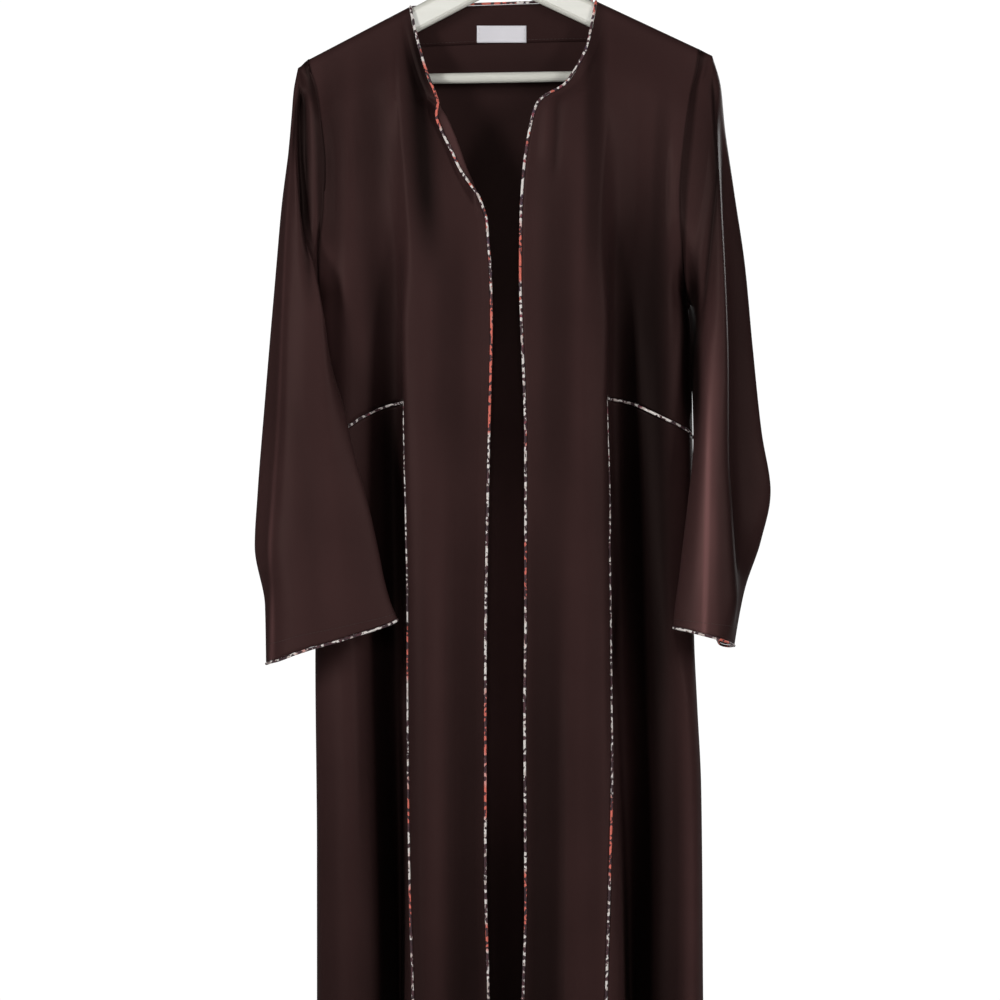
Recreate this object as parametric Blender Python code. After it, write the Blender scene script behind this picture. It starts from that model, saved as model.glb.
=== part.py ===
"""Open-front abaya with piped edges, hanging on a wooden hanger with a trouser bar.

Lengths are in millimetres until a mesh is made. x runs to the right as seen from the front, y to the back,
and z up. The origin is the top of the hook's inside, where the rail carries it. A drop is a distance
below NECK_LEVEL, and an out is a distance from the garment's middle line, positive away from it.
"""

import math

import bmesh
import bpy
import numpy as np

MM = 0.001

# Cloth
WALL = 1.2
SEAM = 0.3
SEAM_HALF = 0.3
PIPING_RADIUS = 1.3
PIPING_REACH = PIPING_RADIUS + SEAM
FACING_WALL = 1.0
LABEL_WALL = 1.0

# Heights
NECK_LEVEL = -108.0
HEM_DROP = 1428.0
UNDERARM_DROP = 300.0
GARMENT_MIDDLE = 2.0

# Shoulders lie over the hanger's arms: out and drop of the neck point, and the fall for each millimetre out
SHOULDER = {
    "left": {"neck_out": 98.6, "neck_drop": 8.3, "fall": 0.523},
    "right": {"neck_out": 91.5, "neck_drop": 2.0, "fall": 0.468},
}
DRAPE_RADIUS = 8.2
FRONT_DRAPE = 70.0
BACK_DRAPE = 80.0
SIDE_SIGN = {"left": -1.0, "right": 1.0}

# Hanger
ARM_CLEARANCE = 2.2
ARM_HEIGHT = 24.0
ARM_THICKNESS = 11.0
ARM_BEVEL = 4.6
ARM_TIP_OUT = 188.0
ARM_TIP_ROUND = 8.0
PEAK_RADIUS = 30.0
PEAK_RISE = 5.0
LOBE_CORNER = 5.0
LOBE_BELOW_BAR = 9.5
LOBE_WIDTH = 23.0
BAR_RADIUS = 5.25
BAR_DROP = 77.5
BAR_TILT = math.radians(0.9)
HOOK_WIRE = 2.0
HOOK_INNER_RADIUS = 21.0
HOOK_TIP_ANGLE = math.radians(-35)
HOOK_LEAVE_ANGLE = math.radians(205)
HOOK_TURN_STEPS = 22
HOOK_NECK_STEPS = 8
HOOK_STEM = 8.0
HOOK_SWEEP = {"aside": -9.0, "below": 3.0}
COLLAR_RADIUS = 5.5
COLLAR_HEIGHT = 8.0


def table(names, *rows):
    """Named columns from rows of numbers."""
    return dict(zip(names.split(), np.array(rows, dtype=float).T))


# Neck and front edge: how far out the edge lies, and how it curls over to the front (angle in degrees, flap)
EDGE = {
    "left": table(
        "drop out angle flap",
        (8.3, 97.0, 0, 3),
        (31, 92.4, 0, 3),
        (55, 86.4, 0, 3),
        (80, 78.4, 0, 3),
        (94, 72.6, 0, 3),
        (100, 70.6, 22, 3.5),
        (107, 66.6, 90, 4.5),
        (114, 62.2, 138, 6),
        (123, 57.0, 158, 8.5),
        (137, 51.0, 162, 8),
        (153, 45.0, 160, 6),
        (171, 38.6, 156, 4.5),
        (185, 32.6, 135, 3),
        (198, 27.8, 80, 3),
        (210, 24.3, 25, 3),
        (222, 21.0, 0, 3),
        (241, 19.6, 0, 3),
        (275, 17.0, 0, 3),
        (320, 16.1, 0, 3),
        (422, 18.2, 0, 3),
        (524, 20.3, 0, 3),
        (669, 22.1, 0, 3),
        (864, 22.1, 0, 3),
        (1000, 19.0, 0, 3),
        (HEM_DROP, 18.0, 0, 3),
    ),
    "right": table(
        "drop out angle flap",
        (2, 91.5, 0, 3),
        (22, 87.6, 0, 3),
        (43, 83.6, 0, 3),
        (57, 78.4, 0, 3),
        (75, 68.2, 0, 3),
        (87, 59.4, 0, 3),
        (93, 50.2, 0, 3),
        (99, 38.4, 0, 3),
        (108, 31.2, 0, 3),
        (122, 27.1, 0, 3),
        (139, 23.6, 0, 3),
        (165, 19.8, 0, 3),
        (190, 17.6, 0, 3),
        (220, 16.2, 0, 3),
        (275, 15.6, 0, 3),
        (320, 16.6, 0, 3),
        (392, 19.6, 0, 3),
        (443, 20.9, 0, 3),
        (620, 20.9, 0, 3),
        (704, 19.9, 0, 3),
        (904, 20.9, 0, 3),
        (1000, 18.3, 0, 3),
        (HEM_DROP, 17.6, 0, 3),
    ),
}

# Front sections: outs of the band's fold, the recess's far side, the side's ridge and the side seam or armhole,
# and how far past the fold the piped seam lies along the cloth
FRONT = {
    "left": table(
        "drop fold past far ridge side",
        (0, 109.5, 32, 140, 165, 199.4),
        (61, 109, 30, 140, 163, 199.4),
        (90, 108.5, 27, 141, 163, 191),
        (130, 107, 23, 143, 162, 185),
        (163, 106, 20, 145, 162, 182.3),
        (210, 105, 16, 146, 162, 183.4),
        (255, 104, 13, 147, 162, 188),
        (300, 103.5, 10, 147, 161, 188),
        (345, 103, 8, 147, 160, 183.5),
        (402, 102, 7, 147, 160, 181),
        (530, 99.5, 1.5, 146, 160, 183),
        (600, 98.7, 0, 144, 160, 187),
        (653, 98.5, 0, 142, 160, 190.5),
        (853, 98.5, -3.5, 132, 158, 189),
        (1000, 100, -11, 125, 156, 189),
        (HEM_DROP, 104, -23, 122, 156, 196),
    ),
    "right": table(
        "drop fold past far ridge side",
        (0, 101, 32, 136, 160, 194.8),
        (50, 101, 31, 136, 160, 194.8),
        (66, 101, 29, 136, 160, 192.8),
        (94, 101.3, 26, 137, 160, 186),
        (133, 101.6, 22, 138, 158, 179.5),
        (200, 102, 16, 139, 156, 174),
        (265, 102.4, 12, 140, 156, 177.5),
        (300, 102.5, 10, 140, 156, 181),
        (340, 101.7, 9, 140, 157, 184.5),
        (398, 100.5, 7, 140, 158, 186),
        (500, 103, 3, 141, 162, 187),
        (549, 104, -1, 142, 162, 187),
        (636, 105, -0.5, 145, 166, 188),
        (704, 106, -1.5, 148, 178, 191),
        (785, 110, -7.5, 150, 180, 195),
        (864, 114, -14.5, 151, 181, 196),
        (1000, 118, -23, 148, 181, 197),
        (HEM_DROP, 128, -41, 146, 182, 205),
    ),
}

# Curled edge: length of cloth in the curl when it lies flat and when it is folded right over, and its steps
CURL_LENGTH = {"flat": 5.0, "folded": 7.6}
CURL_STEPS = 6

# Turn of the cloth at the band's fold: how far before the fold each point lies, at most this share of the
# band's width, how much of the step in depth it has taken, and how much further it has dropped
FOLD_TURN = table(
    "before share taken sunk",
    (10.0, 0.35, 0.06, 0),
    (1.0, 0.10, 0.16, 1),
)
BAND_CREST = 0.45
FOLD_UNDERCUT = 1.5
FOLD_FULL_STEP = 30.0
FOLD_FOOT = 4.0

# The recess beside the fold: where its floor is deepest on the way to the far side, and how much of the rise to
# the ridge is taken there
FLOOR_MIDDLE = 0.26
FAR_RISE = 0.8
SECTION_STEPS = 6

# How far each line of the body stands from the shoulders' plane: to the front, and the back to the back
DEPTH = table(
    "drop edge band floor ridge back",
    (0, 14, 16, 16, 14, 14),
    (60, 18, 24, 22, 18, 18),
    (110, 26, 34, 29, 22, 22),
    (200, 38, 45, 30, 23, 27),
    (300, 44, 50, 17, 24, 31),
    (402, 48, 53, 3, 25, 34),
    (530, 51, 56, -12, 27, 38),
    (640, 52, 58, -17, 32, 41),
    (760, 53, 60, -19, 36, 44),
    (1000, 55, 62, -21, 40, 49),
    (HEM_DROP, 58, 66, -22, 44, 55),
)

# Where the front and the back end at the armhole, and below the underarm at the side seam
SIDE = table(
    "drop front back round",
    (0, 9, 9, 0),
    (60, 10, 10, 0),
    (90, 18, 16, 0),
    (130, 26, 23, 0),
    (170, 30, 27, 0),
    (215, 30, 28, 0),
    (255, 22, 24, 0),
    (285, 8, 15, 0.3),
    (UNDERARM_DROP, -5, 5, 0.7),
    (330, -5, 5, 1),
    (HEM_DROP, -5, 5, 1),
)

# Top of the side inset: drop of the piped seam at each distance past its corner
INSET_TOP = {
    "left": table(
        "past drop",
        (0, 402),
        (26, 403),
        (38, 404.5),
        (51, 408),
        (65, 413),
        (78, 418),
        (92, 425.5),
        (140, 446),
    ),
    "right": table(
        "past drop",
        (0, 398),
        (26, 399),
        (42, 401),
        (60, 405),
        (80, 412.5),
        (100, 421),
        (115, 427),
        (140, 438),
    ),
}
INSET_CORNER = 24.0
CORNER_SOFTNESS = 0.13
SEAM_SLANT = 1.06

# Soft folds of the back: out from the middle line to the right, half width, height and the drop it starts at
BACK_FOLDS = (
    {"at": -142, "width": 22, "height": 8, "start": 150},
    {"at": -78, "width": 26, "height": -9, "start": 120},
    {"at": -14, "width": 24, "height": 7, "start": 220},
    {"at": 52, "width": 28, "height": -10, "start": 140},
    {"at": 126, "width": 24, "height": 9, "start": 180},
)
FOLD_GROWTH = 420.0
BACK_ROUNDING = 5.0
NECK_RISE = 1.5

# How much of the piping's direction comes from the shoulder seam, at each of the first columns past a neck point
NECK_TURN = (1.0, 0.8, 0.5, 0.2)

# Sleeve sections from the shoulder to the cuff: the drops of the inner and outer lines, then the out and the
# y of each line down the sleeve
SLEEVE_LINES = ("tip", "front", "brow", "valley", "outer", "back", "heel")
SLEEVE_STEPS = (4, 4, 3, 3, 3, 3, 3)
SLEEVE_NAMES = "inner_drop outer_drop " + " ".join(f"{n}_out {n}_y" for n in SLEEVE_LINES)
SLEEVE = {
    "left": table(
        SLEEVE_NAMES,
        (307, 68, 194, 5, 191, -34, 204, -26, 207, -13, 208, 0, 204, 20, 195, 27),
        (321, 90, 195, 4, 188, -43, 207, -32, 211, -17, 212, -2, 209, 20, 203, 22),
        (341, 115, 190, -2, 184, -48, 206, -38, 212, -22, 214, -5, 211, 19, 205, 18),
        (364, 150, 179, -20, 180, -52, 206, -43, 214, -27, 217, -9, 213, 17, 206, 12),
        (400, 205, 163, -38, 179, -55, 208, -47, 217, -35, 224, -14, 218, 13, 205, 3),
        (455, 300, 149, -46, 184, -58, 214, -50, 220, -42, 232, -18, 226, 8, 203, -6),
        (510, 400, 134, -50, 176, -62, 216, -54, 223, -46, 240, -24, 233, 2, 200, -14),
        (555, 490, 124, -52, 170, -66, 218, -58, 228, -50, 247, -28, 238, -2, 196, -22),
        (580, 545, 119, -53, 166, -68, 218, -62, 231, -54, 250, -30, 240, -6, 192, -28),
        (600, 604, 113, -54, 160, -70, 212, -66, 228, -56, 240, -36, 230, -12, 186, -30),
        (615, 661, 106.5, -55, 152, -72, 204, -68, 224, -60, 239, -40, 226, -16, 178, -32),
    ),
    "right": table(
        SLEEVE_NAMES,
        (304, 56, 185, 6, 187, -34, 201, -30, 205, -14, 206, 0, 202, 20, 184, 29),
        (316, 85, 187, 4, 193, -38, 207, -36, 211, -16, 214.5, -2, 209, 22, 183, 29),
        (337, 128, 188, 3, 200, -38, 211, -42, 214, -16, 219, -2, 212, 24, 184, 28),
        (365, 190, 188.5, 0, 201, -42, 214, -46, 217, -14, 229, 0, 214, 25, 185, 26),
        (405, 260, 190, -8, 198, -48, 217, -50, 220, -14, 240, 2, 220, 26, 196, 19),
        (450, 345, 186, -38, 198, -58, 219, -54, 222, -14, 248, 4, 228, 26, 208, 9),
        (500, 430, 179.5, -44, 194, -64, 219, -58, 223, -16, 257, 4, 234, 26, 209, 7),
        (550, 490, 173.5, -50, 192, -70, 222, -64, 226, -18, 266, 2, 240, 27, 209, 7),
        (580, 540, 170, -53, 190, -73, 224, -68, 228, -26, 256, 0, 236, 29, 209, 7),
        (603, 590, 166.5, -56, 188, -76, 226, -71, 230, -38, 239, -4, 224, 32, 209, 8),
        (624, 644, 164.6, -58, 186, -78, 214, -74, 225, -48, 227, -8, 216, 34, 209, 9),
    ),
}
CUFF_BACK_DIP = 5.0

# How far the lower half of a sleeve turns its cuff from a wave into a straight slant, and how pointed its ends are
CUFF_STRAIGHTNESS = {"left": 1.0, "right": 0.3}
CUFF_POINT = 0.25

# Armhole
ARMHOLE_REACH = UNDERARM_DROP + 12
ARMHOLE_OUTWARD = 1.5

# Back neck facing, as columns past the left neck point and its fall below the neck, and the label on it
FACING = {"left": 3.2, "right": 11.6, "fall": 38}
LABEL = {"left": -29.3, "width": 49.8, "top": 25.5, "height": 17.0}
LABEL_COLUMNS = 5
LABEL_ROWS = 4

# How finely each piece is cut, as distances along the cloth or down it
UPPER_ROWS = (0, 1, 3.5, 8, 16, 30, 46, 60, 72, 82, 89, 94, 98, 102, 107, 114, 126, 146, 164, 178, 190, 203, 220,
              248, 300, 350, 380)
LOWER_ROWS = (14, 40, 90, 150, 230, 340, 500, 700)
BAND_STEPS = 5
SEAM_STEPS = (5.0, 10.0)
WALL_STEPS = 4
FLOOR_STEPS = 2
RIDGE_STEPS = 2
CHEEK_STEPS = 5
LEAST_STEP = 3.0
SETTLING_PASSES = 6
BACK_SHOULDER_STEPS = 6
BACK_CROWDING = 2.2
BACK_NECK_PAST = (0.0, 1.5, 4.5, 10.0, 19.0)
BACK_MIDDLE_STEPS = 6
BACK_NECK_STEPS = 2 * (len(BACK_NECK_PAST) - 1) + BACK_MIDDLE_STEPS
BACK_ROWS = (0, 1, 3.5, 8, 16, 27, 38, 55, 80, 120, 170, 215, 248, 300, 384, 500, 640, 800, 980, 1180)
SLEEVE_ROWS_BETWEEN = 1
PIPING_SIDES = 1


def smooth_at(columns, name, where, key="drop"):
    """A column of a table at any drop, on a smooth curve that never overshoots its rows."""
    x = columns[key]
    y = columns[name]
    if where <= x[0]:
        return float(y[0])
    if where >= x[-1]:
        return float(y[-1])
    step = np.diff(x)
    slope = np.diff(y) / step
    tangent = np.zeros(len(x))
    for i in range(1, len(x) - 1):
        if slope[i - 1] * slope[i] > 0:
            near = 2 * step[i] + step[i - 1]
            far = step[i] + 2 * step[i - 1]
            tangent[i] = (near + far) / (near / slope[i - 1] + far / slope[i])
    tangent[0] = slope[0]
    tangent[-1] = slope[-1]
    i = int(np.searchsorted(x, where, side="right")) - 1
    t = (where - x[i]) / step[i]
    value = y[i] * (1 + 2 * t) * (1 - t) ** 2 + y[i + 1] * t * t * (3 - 2 * t)
    value += step[i] * (tangent[i] * t * (1 - t) ** 2 + tangent[i + 1] * t * t * (t - 1))
    return float(value)


def ease(t):
    """Zero below 0, one above 1, smooth between."""
    t = min(max(t, 0.0), 1.0)
    return t * t * (3 - 2 * t)


def mix(a, b, t):
    return a + (b - a) * t


def flowing(points, steps, closed=False):
    """A centripetal curve through points, with the given number of steps on each stretch."""
    points = [np.array(p, dtype=float) for p in points]
    count = len(points)
    out = []
    spans = count if closed else count - 1
    for i in range(spans):
        if closed:
            p0, p1, p2, p3 = (points[(i + k) % count] for k in (-1, 0, 1, 2))
        else:
            p1 = points[i]
            p2 = points[i + 1]
            p0 = points[i - 1] if i else 2 * p1 - p2
            p3 = points[i + 2] if i + 2 < count else 2 * p2 - p1
        t0 = 0.0
        t1 = t0 + max(np.linalg.norm(p1 - p0), 1e-6) ** 0.5
        t2 = t1 + max(np.linalg.norm(p2 - p1), 1e-6) ** 0.5
        t3 = t2 + max(np.linalg.norm(p3 - p2), 1e-6) ** 0.5
        n = steps if isinstance(steps, int) else steps[i]
        for k in range(n):
            t = mix(t1, t2, k / n)
            a1 = mix(p0, p1, (t - t0) / (t1 - t0))
            a2 = mix(p1, p2, (t - t1) / (t2 - t1))
            a3 = mix(p2, p3, (t - t2) / (t3 - t2))
            b1 = mix(a1, a2, (t - t0) / (t2 - t0))
            b2 = mix(a2, a3, (t - t1) / (t3 - t1))
            out.append(mix(b1, b2, (t - t1) / (t2 - t1)))
    if not closed:
        out.append(points[-1])
    return out


def along(points, distances):
    """The points at the given distances along a polyline."""
    points = np.array(points)
    run = np.concatenate([[0.0], np.cumsum(np.linalg.norm(np.diff(points, axis=0), axis=1))])
    distances = np.clip(distances, 0, run[-1])
    return np.stack([np.interp(distances, run, points[:, k]) for k in range(points.shape[1])], axis=1)


def shoulder_drop(side, out):
    """Drop of the shoulder line, carried on above the neck point."""
    shape = SHOULDER[side]
    return shape["neck_drop"] + shape["fall"] * (out - shape["neck_out"])


def drape(depth, below, reach):
    """Depth of cloth that lies over the hanger's arm and hangs free further down."""
    below = max(below, 0.0)
    rounded = math.sqrt(max(DRAPE_RADIUS**2 - max(DRAPE_RADIUS - below, 0.0) ** 2, 0.0))
    return rounded + (depth - DRAPE_RADIUS) * ease(below / reach)


def world(side, out, y, drop):
    """A point in the part's frame from its out, y and drop."""
    return np.array([GARMENT_MIDDLE + SIDE_SIGN[side] * out, y, NECK_LEVEL - drop])


# Front panels


def front_section(side, drop):
    """The front's section at a drop as (out, depth) points from the edge to the side, and its marks."""
    edge = EDGE[side]
    shape = FRONT[side]
    angle = math.radians(smooth_at(edge, "angle", drop))
    flap = smooth_at(edge, "flap", drop)
    edge_depth = smooth_at(DEPTH, "edge", drop)
    band = smooth_at(DEPTH, "band", drop)
    floor = smooth_at(DEPTH, "floor", drop)
    ridge = smooth_at(DEPTH, "ridge", drop)
    fold = smooth_at(shape, "fold", drop)
    far = smooth_at(shape, "far", drop)
    ridge_out = smooth_at(shape, "ridge", drop)
    side_out = smooth_at(shape, "side", drop)
    side_depth = smooth_at(SIDE, "front", drop)
    roundness = smooth_at(SIDE, "round", drop)

    curl_length = mix(CURL_LENGTH["flat"], CURL_LENGTH["folded"], angle / math.pi)
    heading = 0.0
    curl = [np.array([0.0, 0.0])]
    for _ in range(CURL_STEPS):
        heading += angle / CURL_STEPS
        step = curl_length / CURL_STEPS
        curl.append(curl[-1] + step * np.array([-math.cos(heading), math.sin(heading)]))
    curl.append(curl[-1] + flap * np.array([-math.cos(angle), math.sin(angle)]))
    curl = np.array(curl[::-1])
    curl[:, 0] += smooth_at(edge, "out", drop) - curl[:, 0].min()
    curl[:, 1] += edge_depth
    root = curl[-1]

    step_depth = band - floor
    hold = min(step_depth / FOLD_FULL_STEP, 1.0)
    width = fold - root[0]
    knots = [root, (mix(root[0], fold, BAND_CREST), band)]
    for before, share, taken, sunk in zip(*FOLD_TURN.values()):
        knots.append((fold - min(before, share * width), band - taken * step_depth - sunk))
    knots += [
        (fold - FOLD_UNDERCUT * hold, mix(band, floor, 0.5) - 1),
        (fold + FOLD_FOOT, mix(floor, band, 0.1)),
        (mix(fold, far, FLOOR_MIDDLE), floor),
        (far, mix(floor, ridge, FAR_RISE)),
        (ridge_out, ridge),
        (mix(ridge_out, side_out, mix(0.62, 0.8, roundness)), mix(ridge, side_depth, mix(0.6, 0.32, roundness))),
        (side_out - 0.6 * roundness - 4 * (1 - roundness), mix(ridge, side_depth, mix(0.85, 0.68, roundness))),
        (side_out, side_depth),
    ]
    body = flowing(knots, SECTION_STEPS)
    line = np.array(list(curl[:-1]) + body)
    run = np.concatenate([[0.0], np.cumsum(np.linalg.norm(np.diff(line, axis=0), axis=1))])
    base = len(curl) - 1
    marks = {
        "flap": flap,
        "curl": flap + curl_length,
        "fold": run[base + 3 * SECTION_STEPS],
        "foot": run[base + 5 * SECTION_STEPS],
        "far": run[base + 7 * SECTION_STEPS],
        "ridge": run[base + 8 * SECTION_STEPS],
        "side": run[-1],
    }
    marks["seam"] = marks["fold"] + smooth_at(shape, "past", drop)
    return line, marks


def front_columns(side, marks):
    """Distances along a front section where its columns lie, and the index of the seam's first column."""
    curled = EDGE[side]["angle"].max() > 0
    flap = marks["flap"]
    curl = marks["curl"]
    seam = marks["seam"]
    places = [0.0]
    if curled:
        places += [0.5 * flap, flap, mix(flap, curl, 0.33), mix(flap, curl, 0.67), curl]
    else:
        curl = 0.0
    places += [mix(curl, seam - SEAM_STEPS[1], (k + 1) / BAND_STEPS) for k in range(BAND_STEPS)]
    places += [seam - SEAM_STEPS[0], seam - PIPING_REACH]
    front_last = len(places) - 1
    places += [seam + PIPING_REACH, seam + SEAM_STEPS[0]]
    last = seam + SEAM_STEPS[0]
    for name, steps in (("foot", WALL_STEPS), ("far", FLOOR_STEPS), ("ridge", RIDGE_STEPS), ("side", CHEEK_STEPS)):
        end = max(marks[name], last + LEAST_STEP * steps)
        places += [mix(last, end, (k + 1) / steps) for k in range(steps)]
        last = end
    return np.array(places), front_last


def front_point(side, column, drop):
    """The point of a front where a column crosses a drop, with its distance past the piped seam."""
    line, marks = front_section(side, drop)
    places, _ = front_columns(side, marks)
    out, depth = along(line, [places[column]])[0]
    return out, depth, places[column] - marks["seam"]


def front_top(side, column):
    """Drop where a column meets the shoulder line."""
    drop = SHOULDER[side]["neck_drop"]
    for _ in range(SETTLING_PASSES):
        out, _, _ = front_point(side, column, drop)
        drop = mix(drop, shoulder_drop(side, out), 0.9)
    return drop


def inset_drop(side, past):
    """Drop of the piped seam on top of the side inset."""
    return smooth_at(INSET_TOP[side], "drop", max(past, 0.0), "past")


def front_grid(side):
    """Points of a whole front, with its seam's columns and rows: the last of the front, then the inset's."""
    _, marks = front_section(side, UNDERARM_DROP)
    places, front_last = front_columns(side, marks)
    count = len(places)
    tops = [front_top(side, c) for c in range(count)]
    corner_drop = inset_drop(side, 0.0)
    upper_length = corner_drop - SHOULDER[side]["neck_drop"]
    plan = []
    for row in UPPER_ROWS:
        plan.append(("upper", row / upper_length))
    plan.append(("seam", -PIPING_REACH))
    plan.append(("seam", PIPING_REACH))
    for row in LOWER_ROWS:
        plan.append(("lower", row / (HEM_DROP - corner_drop)))
    plan.append(("lower", 1.0))
    upper_last = len(UPPER_ROWS)
    rows = []
    for kind, amount in plan:
        row = []
        for column in range(count):
            guess = corner_drop
            for _ in range(SETTLING_PASSES // 2):
                _, _, past = front_point(side, column, guess)
                guess = inset_drop(side, past)
            line_drop = guess
            if kind == "upper":
                drop = mix(tops[column], line_drop, amount)
            elif kind == "seam":
                drop = line_drop + amount * SEAM_SLANT
            else:
                drop = mix(line_drop, HEM_DROP, amount)
            line, marks = front_section(side, drop)
            places, _ = front_columns(side, marks)
            place = places[column]
            away = math.hypot(place - marks["seam"], drop - corner_drop)
            if away < INSET_CORNER:
                push = CORNER_SOFTNESS * INSET_CORNER * (1 - away / INSET_CORNER) ** 2
                drop += push
                line, marks = front_section(side, drop)
                places, _ = front_columns(side, marks)
                place = places[column] + push
            out, depth = along(line, [place])[0]
            below = drop - shoulder_drop(side, out)
            y = -drape(depth, below, FRONT_DRAPE)
            if column == count - 1 or kind == "upper" and amount == 0.0:
                y -= SEAM_HALF
            row.append(world(side, out, y, drop))
        rows.append(row)
    return np.array(rows), front_last, upper_last


# Back


def back_top(side, out):
    """Drop of the back's top edge: the shoulder line, and inside the neck points a nearly straight neck."""
    if out >= SHOULDER[side]["neck_out"]:
        return shoulder_drop(side, out)
    left = SHOULDER["left"]
    right = SHOULDER["right"]
    across = (SIDE_SIGN[side] * out + left["neck_out"]) / (left["neck_out"] + right["neck_out"])
    level = mix(left["neck_drop"], right["neck_drop"], across)
    return level - NECK_RISE * 4 * across * (1 - across)


def back_point(across, drop):
    """Out to the right, depth and the drop below the shoulder line, of the back at a share across it."""
    left_out = smooth_at(FRONT["left"], "side", drop)
    right_out = smooth_at(FRONT["right"], "side", drop)
    right = mix(-left_out, right_out, across)
    half = 0.5 * (left_out + right_out)
    share = abs(right - 0.5 * (right_out - left_out)) / half
    full = smooth_at(DEPTH, "back", drop)
    for fold in BACK_FOLDS:
        growth = ease((drop - fold["start"]) / FOLD_GROWTH)
        full += fold["height"] * growth * math.exp(-(((right - fold["at"]) / fold["width"]) ** 2))
    edge = smooth_at(SIDE, "back", drop)
    depth = edge + (full - edge) * max(1 - share**BACK_ROUNDING, 0.0) ** 0.5
    side = "left" if right < 0 else "right"
    below = drop - shoulder_drop(side, abs(right))
    return right, drape(depth, below, BACK_DRAPE), side


def back_columns():
    """Shares across the back where its columns lie, closer together at the sides."""
    left = SHOULDER["left"]["neck_out"]
    right = SHOULDER["right"]["neck_out"]
    left_side = FRONT["left"]["side"][0]
    right_side = FRONT["right"]["side"][0]
    whole = left_side + right_side
    neck_left = (left_side - left) / whole
    neck_right = (left_side + right) / whole
    shares = [neck_left * (k / BACK_SHOULDER_STEPS) ** BACK_CROWDING for k in range(BACK_SHOULDER_STEPS)]
    shares += [neck_left + past / whole for past in BACK_NECK_PAST]
    first = BACK_NECK_PAST[-1] / whole
    steps = BACK_MIDDLE_STEPS
    shares += [mix(neck_left + first, neck_right - first, k / steps) for k in range(1, steps)]
    shares += [neck_right - past / whole for past in BACK_NECK_PAST[::-1]]
    ends = [1 - (1 - neck_right) * (k / BACK_SHOULDER_STEPS) ** BACK_CROWDING for k in range(BACK_SHOULDER_STEPS)]
    return shares + ends[::-1]


def back_surface(across, fall):
    """A point of the back at a share across and a distance down."""
    drop = 0.0
    for _ in range(SETTLING_PASSES):
        right, _, side = back_point(across, drop)
        drop = back_top(side, abs(right))
    drop = drop + fall
    right, y, _ = back_point(across, drop)
    return world("right", right, y, drop)


def back_grid():
    rows = []
    shares = back_columns()
    for fall in BACK_ROWS + (None,):
        row = []
        for i, across in enumerate(shares):
            if fall is None:
                right, y, _ = back_point(across, HEM_DROP)
                point = world("right", right, y, HEM_DROP)
            else:
                point = back_surface(across, fall)
            shoulder_row = fall == 0 and (i <= BACK_SHOULDER_STEPS or i >= BACK_SHOULDER_STEPS + BACK_NECK_STEPS)
            if i in (0, len(shares) - 1) or shoulder_row:
                point[1] += SEAM_HALF
            row.append(point)
        rows.append(row)
    return np.array(rows)


# Sleeves


def armhole(side, front, back):
    """The armhole's ring from the underarm up the front edge to the shoulder and down the back edge."""
    column = 0 if side == "left" else -1
    front_edge = [p for p in front[:, -1] if NECK_LEVEL - p[2] <= ARMHOLE_REACH]
    back_edge = [p for p in back[:, column] if NECK_LEVEL - p[2] <= ARMHOLE_REACH]
    front_steps = sum(SLEEVE_STEPS[:4])
    back_steps = sum(SLEEVE_STEPS[4:])
    up = resampled(front_edge[::-1], front_steps + 1)
    down = resampled(back_edge, back_steps + 1)
    down[-1] = up[0]
    return np.concatenate([up, down[1:-1]])


def resampled(points, count):
    points = np.array(points)
    run = np.concatenate([[0.0], np.cumsum(np.linalg.norm(np.diff(points, axis=0), axis=1))])
    return along(points, np.linspace(0, run[-1], count))


def sleeve_ring(side, row, last):
    """One ring of a sleeve from its table's row, which may lie between two rows."""
    shape = SLEEVE[side]
    index = np.arange(len(shape["inner_drop"]), dtype=float)
    keyed = dict(shape, index=index)

    def value(name):
        return smooth_at(keyed, name, row, "index")

    stations = [(value(f"{name}_out"), value(f"{name}_y")) for name in SLEEVE_LINES]
    ring = flowing(stations, SLEEVE_STEPS, closed=True)
    count = len(ring)
    front_steps = sum(SLEEVE_STEPS[:4])
    points = []
    for k, (out, y) in enumerate(ring):
        turn = 0.5 * k / front_steps if k <= front_steps else 0.5 + 0.5 * (k - front_steps) / (count - front_steps)
        weight = 0.5 - 0.5 * math.cos(2 * math.pi * turn)
        straight = mix(math.sin(math.pi * turn), 1 - abs(1 - 2 * turn), CUFF_POINT)
        weight = mix(weight, straight, CUFF_STRAIGHTNESS[side] * ease(2 * row / last - 1))
        drop = mix(value("inner_drop"), value("outer_drop"), weight)
        behind = max(-math.sin(2 * math.pi * turn), 0.0)
        drop += CUFF_BACK_DIP * behind * (row / last) ** 2
        points.append(world(side, out, y, drop))
    return np.array(points)


def sleeve_grid(side, front, back):
    hole = armhole(side, front, back)
    last = len(SLEEVE[side]["inner_drop"]) - 1
    rings = []
    steps = last * (SLEEVE_ROWS_BETWEEN + 1)
    for k in range(steps + 1):
        rings.append(sleeve_ring(side, last * k / steps, last))
    direction = rings[0] - hole
    direction /= np.linalg.norm(direction, axis=1)[:, None]
    direction += np.array([ARMHOLE_OUTWARD * SIDE_SIGN[side], 0.0, 0.0])
    direction /= np.linalg.norm(direction, axis=1)[:, None]
    start = hole + direction * (SEAM + WALL)
    return np.array([start] + rings)


# Solids


def material(name, colour, roughness, metallic=0.0, sheen=0.0):
    made = bpy.data.materials.new(name)
    made.use_nodes = True
    shader = made.node_tree.nodes["Principled BSDF"]
    shader.inputs["Base Color"].default_value = (*colour, 1.0)
    shader.inputs["Roughness"].default_value = roughness
    shader.inputs["Metallic"].default_value = metallic
    shader.inputs["Sheen Weight"].default_value = sheen
    made.diffuse_color = (*colour, 1.0)
    return made


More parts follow.
